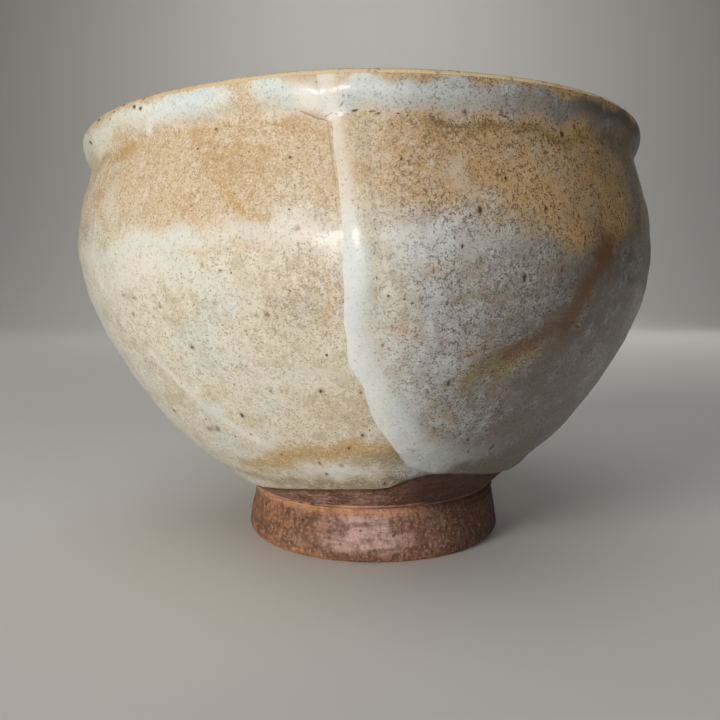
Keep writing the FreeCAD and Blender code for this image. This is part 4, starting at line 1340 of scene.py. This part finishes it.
def make_clay():
    """Rough iron-rich stoneware, greyed by wear and flashed orange by fire; painted light on the foot's
    front, painted shade on the right.
    """
    f = Finish("fired_clay")
    grit = f.noise(0.7, 3.0, roughness=0.65)
    drag = f.noise(1.0, 3.0, f.stretched(0.12, 0.12, 1.1), 0.6)
    cloud = f.centred(4.0, 3.0, 2.1)
    lump = f.centred(1.5, 3.0, 2.0)
    mottle = f.add(cloud, lump)
    # Paler by wear, and on the foot's front by a painted pool of light
    wear_and_painted_light = f.add(f.channel("wear_and_painted_light"), f.add(cloud, f.times(lump, 0.6)))
    f.colour = f.mix(f.step(wear_and_painted_light, -0.1, 1.3), CLAY, WORN_AND_PAINTED_LIGHT_CLAY)
    f.over(f.step(f.add(f.channel("flash"), mottle), 0.4, 1.2, 0.0, 0.75), FLASHED_CLAY)
    f.over(f.step(drag, 0.48, 0.7, 0.0, 0.65), SCORED_CLAY)
    f.over(f.step(lump, -0.45, 0.05, 0.35, 0.0), DEEP_CLAY)
    rough_part = f.step(wear_and_painted_light, 0.2, 1.1, 0.55, 0.2)
    f.over(f.times(f.step(grit, 0.52, 0.68), rough_part), PALE_GRIT)
    f.over(f.times(f.step(grit, 0.34, 0.46, 1.0, 0.0), rough_part), DARK_GRIT)
    chips = f.specks(2.6, 0.55, 0.35, f.swayed(1.6, 1.2))
    f.over(f.times(chips, 0.6), CHIP)
    f.over(f.times(f.specks(2.1, 0.5, 0.4, f.swayed(2.0, 1.4)), 0.75), PIT)
    # Paler orange along the ledge, partly a painted highlight
    f.over(f.times(f.channel("ledge"), f.step(mottle, -0.8, 0.2, 0.3, 0.95)), LEDGE_ORANGE_AND_HIGHLIGHT)
    # Painted shade and painted shadow on the clay
    f.over(f.step(f.add(f.channel("painted_shade"), f.times(mottle, 0.25)), 0.0, 1.0, 0.0, 0.85), PAINTED_SHADE_CLAY)
    for height, distance in ((drag, 0.26), (lump, 0.3), (grit, 0.34), (chips, 0.12)):
        f.bump(height, distance)
    return f.finish(f.step(grit, 0.3, 0.7, 0.72, 0.92), Specular_IOR_Level=0.3)


def make_slip():
    """The matt slip of the fillet, lighter where the fire flashed it and darkened on the right by painted
    shade.
    """
    f = Finish("fired_slip")
    grit = f.noise(0.6, 3.0, roughness=0.6)
    f.colour = f.mix(f.step(f.noise(5.0, 2.0), 0.35, 0.65), SLIP, PALE_SLIP)
    f.over(f.step(grit, 0.55, 0.75, 0.0, 0.7), SLIP_GRIT)
    f.over(f.step(f.add(f.channel("flash"), f.centred(2.0, 2.0, 2.0)), 0.5, 1.2, 0.0, 0.7), FLASHED_SLIP)
    # Painted shade
    f.over(f.channel("painted_shade"), PAINTED_SHADE_SLIP)
    f.bump(grit, 0.18)
    return f.finish(f.step(grit, 0.3, 0.7, 0.62, 0.85))


def make_liner():
    """A satin feldspar glaze, cream and speckled, that breaks to orange on the lip and ran down inside."""
    f = Finish("liner_glaze")
    grain = f.noise(0.45, 2.0)
    fleck = f.noise(1.1, 3.0, f.swayed(2.0, 1.2))
    lip = f.channel("lip")
    uneven = f.add(f.times(f.minus(grain, 0.5), 1.2), f.times(f.minus(fleck, 0.5), 1.1))
    f.colour = f.mix(f.step(f.noise(7.0, 3.0), 0.35, 0.68), LINER, PALE_LINER)
    f.over(f.step(f.noise(16.0, 2.0), 0.5, 0.72, 0.0, 0.6), TAN_LINER)
    f.over(f.step(f.add(f.minus(1.0, f.channel("ring")), uneven), 0.6, 1.3, 0.0, 0.35), RIDGE_TAN)
    f.over(f.step(f.add(f.channel("drip"), uneven), 0.3, 0.9, 0.0, 0.7), PALE_BLUE)
    f.over(f.times(f.channel("well"), 0.5), WELL_GREEN)
    f.over(f.times(f.step(uneven, 0.05, 0.45), 0.45), WARM_FLECK)
    dots = f.largest(f.times(f.specks(1.1, 0.3, 0.45, f.swayed(1.4, 0.7)), 0.6), f.specks(3.4, 0.46, 0.36))
    f.over(f.times(dots, 0.75), SPECK_BROWN)
    f.over(f.step(f.add(lip, f.times(uneven, 0.35)), 0.3, 0.85, 0.0, 0.95), LIP_CREAM)
    f.over(f.times(f.step(f.noise(3.6, 2.0), 0.55, 0.72), f.times(lip, 0.5)), LIP_ORANGE)
    f.over(f.times(f.step(f.noise(2.2, 3.0), 0.6, 0.7), f.times(lip, 0.8)), LIP_BURNT)
    f.bump(f.noise(1.9, 2.0), 0.1)
    f.bump(grain, 0.03)
    return f.finish(f.step(grain, 0.3, 0.7, 0.24, 0.38), Coat_Weight=0.25, Coat_Roughness=0.12, IOR=1.5)


def make_pool():
    """Glaze that ran together in the well and set as crackled glass."""
    f = Finish("pooled_glaze")
    inputs = {"Scale": 1 / 3.4, "Vector": f.swayed(2.4, 1.5)}
    cells = f.node("TexVoronoi", inputs, feature="DISTANCE_TO_EDGE")
    crack = f.step(cells.outputs["Distance"], 0.0, 0.035, 1.0, 0.0)
    f.colour = f.mix(f.step(f.channel("deep"), 0.0, 0.5), POOL_EDGE, POOL_DEEP)
    f.over(f.step(f.noise(3.4, 3.0), 0.4, 0.7, 0.0, 0.5), POOL_MILK)
    f.over(f.times(f.specks(2.6, 0.35, 0.3), 0.6), SPECK_BROWN)
    f.over(f.times(crack, 0.5), CRACK)
    f.bump(f.noise(5.0, 1.0), 0.1)
    f.bump(crack, 0.02)
    rough = f.step(f.noise(1.5, 2.0), 0.3, 0.7, 0.06, 0.12)
    return f.finish(rough, Coat_Weight=0.6, Coat_Roughness=0.03, IOR=1.5)


# ----------------------------------------------------------------------------
# The pieces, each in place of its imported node

def dress_bowl():
    first = outer_glaze("first_dip_glaze", 0.12, (0.02, 0.24, 0.5), FIRST_SEAM, 0.5, 0.4)
    second = outer_glaze("second_dip_glaze", 0.12, (0.0, 0.2, 0.4), SECOND_SEAM, 0.45, 0.3)
    rim = outer_glaze("rim_dip_glaze", 0.3, (0.0, 0.45, 0.6), RIM_SEAM, 0.5)
    clay = make_clay()
    pieces = [
        (make_clay_body(), "clay_body", "fired_clay", clay),
        (make_foot_ring(), "foot_ring", "fired_clay", clay),
        (make_foot_seam(), "foot_seam", "fired_slip", make_slip()),
        (make_inner_glaze(), "inner_glaze", "liner_glaze", make_liner()),
        (make_pooled_glaze(), "pooled_glaze", "pooled_glaze", make_pool()),
        (make_first_dip(), "first_dip_glaze", "first_dip_glaze", first),
        (make_second_dip(), "second_dip_glaze", "second_dip_glaze", second),
        (make_rim_dip(), "rim_dip_glaze", "rim_dip_glaze", rim),
    ]
    for piece, node, slot, material in pieces:
        piece.data.materials.append(material)
        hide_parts(node)
        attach(piece, "root")


# ----------------------------------------------------------------------------
# Floor, light and camera, in metres

FLOOR_FRONT = -4.0
FLOOR_BACK = 1.1
FLOOR_HALF_WIDTH = 6.0
BACKDROP_CURVE = 0.7
BACKDROP_TOP = 3.0
CURVE_STEPS = 16


def make_stage():
    """A pale floor that curves up into a backdrop."""
    profile = [(FLOOR_FRONT, 0.0), (FLOOR_BACK, 0.0)]
    for step in range(1, CURVE_STEPS + 1):
        turn = math.radians(90 * step / CURVE_STEPS)
        forward, up = BACKDROP_CURVE * math.sin(turn), BACKDROP_CURVE - BACKDROP_CURVE * math.cos(turn)
        profile.append((FLOOR_BACK + forward, up))
    profile.append((FLOOR_BACK + BACKDROP_CURVE, BACKDROP_TOP))
    points = [(x, y, z) for x in (-FLOOR_HALF_WIDTH, FLOOR_HALF_WIDTH) for y, z in profile]
    count = len(profile)
    faces = [(count + i, count + i + 1, i + 1, i) for i in range(count - 1)]
    floor = linked("floor", smooth_mesh("floor", points, faces))
    material = bpy.data.materials.new("pale_floor")
    material.use_nodes = True
    shader = material.node_tree.nodes["Principled BSDF"]
    shader.inputs["Base Color"].default_value = FLOOR_WHITE
    shader.inputs["Roughness"].default_value = 0.9
    floor.data.materials.append(material)


def make_lamp(name, direction, distance, size, power, colour, glossy, target):
    """A round lamp in a direction (azimuth, elevation) from the middle of the bowl, facing a target."""
    data = bpy.data.lights.new(name, "AREA")
    data.shape = "DISK"
    data.size = size
    data.energy = power
    data.color = colour
    lamp = linked(name, data)
    azimuth, elevation = (math.radians(angle) for angle in direction)
    level = math.cos(elevation)
    towards = Vector((level * math.sin(azimuth), -level * math.cos(azimuth), math.sin(elevation)))
    lamp.location = BOWL_MIDDLE + distance * towards
    lamp.rotation_euler = (lamp.location - target).to_track_quat("Z", "Y").to_euler()
    lamp.visible_glossy = glossy


BOWL_MIDDLE = Vector((0, 0, 0.05))
BACKDROP_MIDDLE = Vector((0, 1.75, 0.2))
NEAR_WHITE = (1.0, 0.99, 0.97)
# Name, (azimuth, elevation) in degrees, distance, size, power in watts, colour, seen in reflections, target
LAMPS = [
    ("key", (-45, 15), 0.9, 0.34, 4.15, (1.0, 0.99, 0.93), False, BOWL_MIDDLE),
    ("window", (-7.8, 1.4), 0.66, 0.17, 1.4, (1.0, 0.94, 1.0), True, BOWL_MIDDLE),
    ("above", (-24, 70), 1.0, 0.9, 2.2, (0.97, 0.98, 1.0), True, BOWL_MIDDLE),
    ("backdrop", (180, 50), 1.3, 0.9, 5.6, NEAR_WHITE, False, BACKDROP_MIDDLE),
    ("fill", (150, 32), 1.2, 0.9, 1.6, NEAR_WHITE, False, BOWL_MIDDLE),
]


def make_lights():
    for lamp in LAMPS:
        make_lamp(*lamp)
    world = bpy.data.worlds.new("studio")
    world.use_nodes = True
    background = world.node_tree.nodes["Background"]
    background.inputs["Color"].default_value = (0.9, 0.93, 1.0, 1.0)
    background.inputs["Strength"].default_value = 0.02
    bpy.context.scene.world = world


def make_camera():
    """Where a fit to the photo puts it: close in front, a little to the left and tipped slightly down."""
    data = bpy.data.cameras.new("camera")
    data.sensor_width = 36.0
    data.sensor_height = 36.0
    data.sensor_fit = "HORIZONTAL"
    data.lens = 33.475
    data.clip_start = 0.01
    data.clip_end = 20.0
    camera = linked("camera", data)
    camera.location = (-0.75 * MM, -161.2 * MM, 53.12 * MM)
    camera.rotation_euler = (math.radians(90 - 5.04), 0.0, 0.0)
    bpy.context.scene.camera = camera


make_camera()
dress_bowl()
make_stage()
make_lights()
bpy.context.scene.view_settings.view_transform = "Standard"
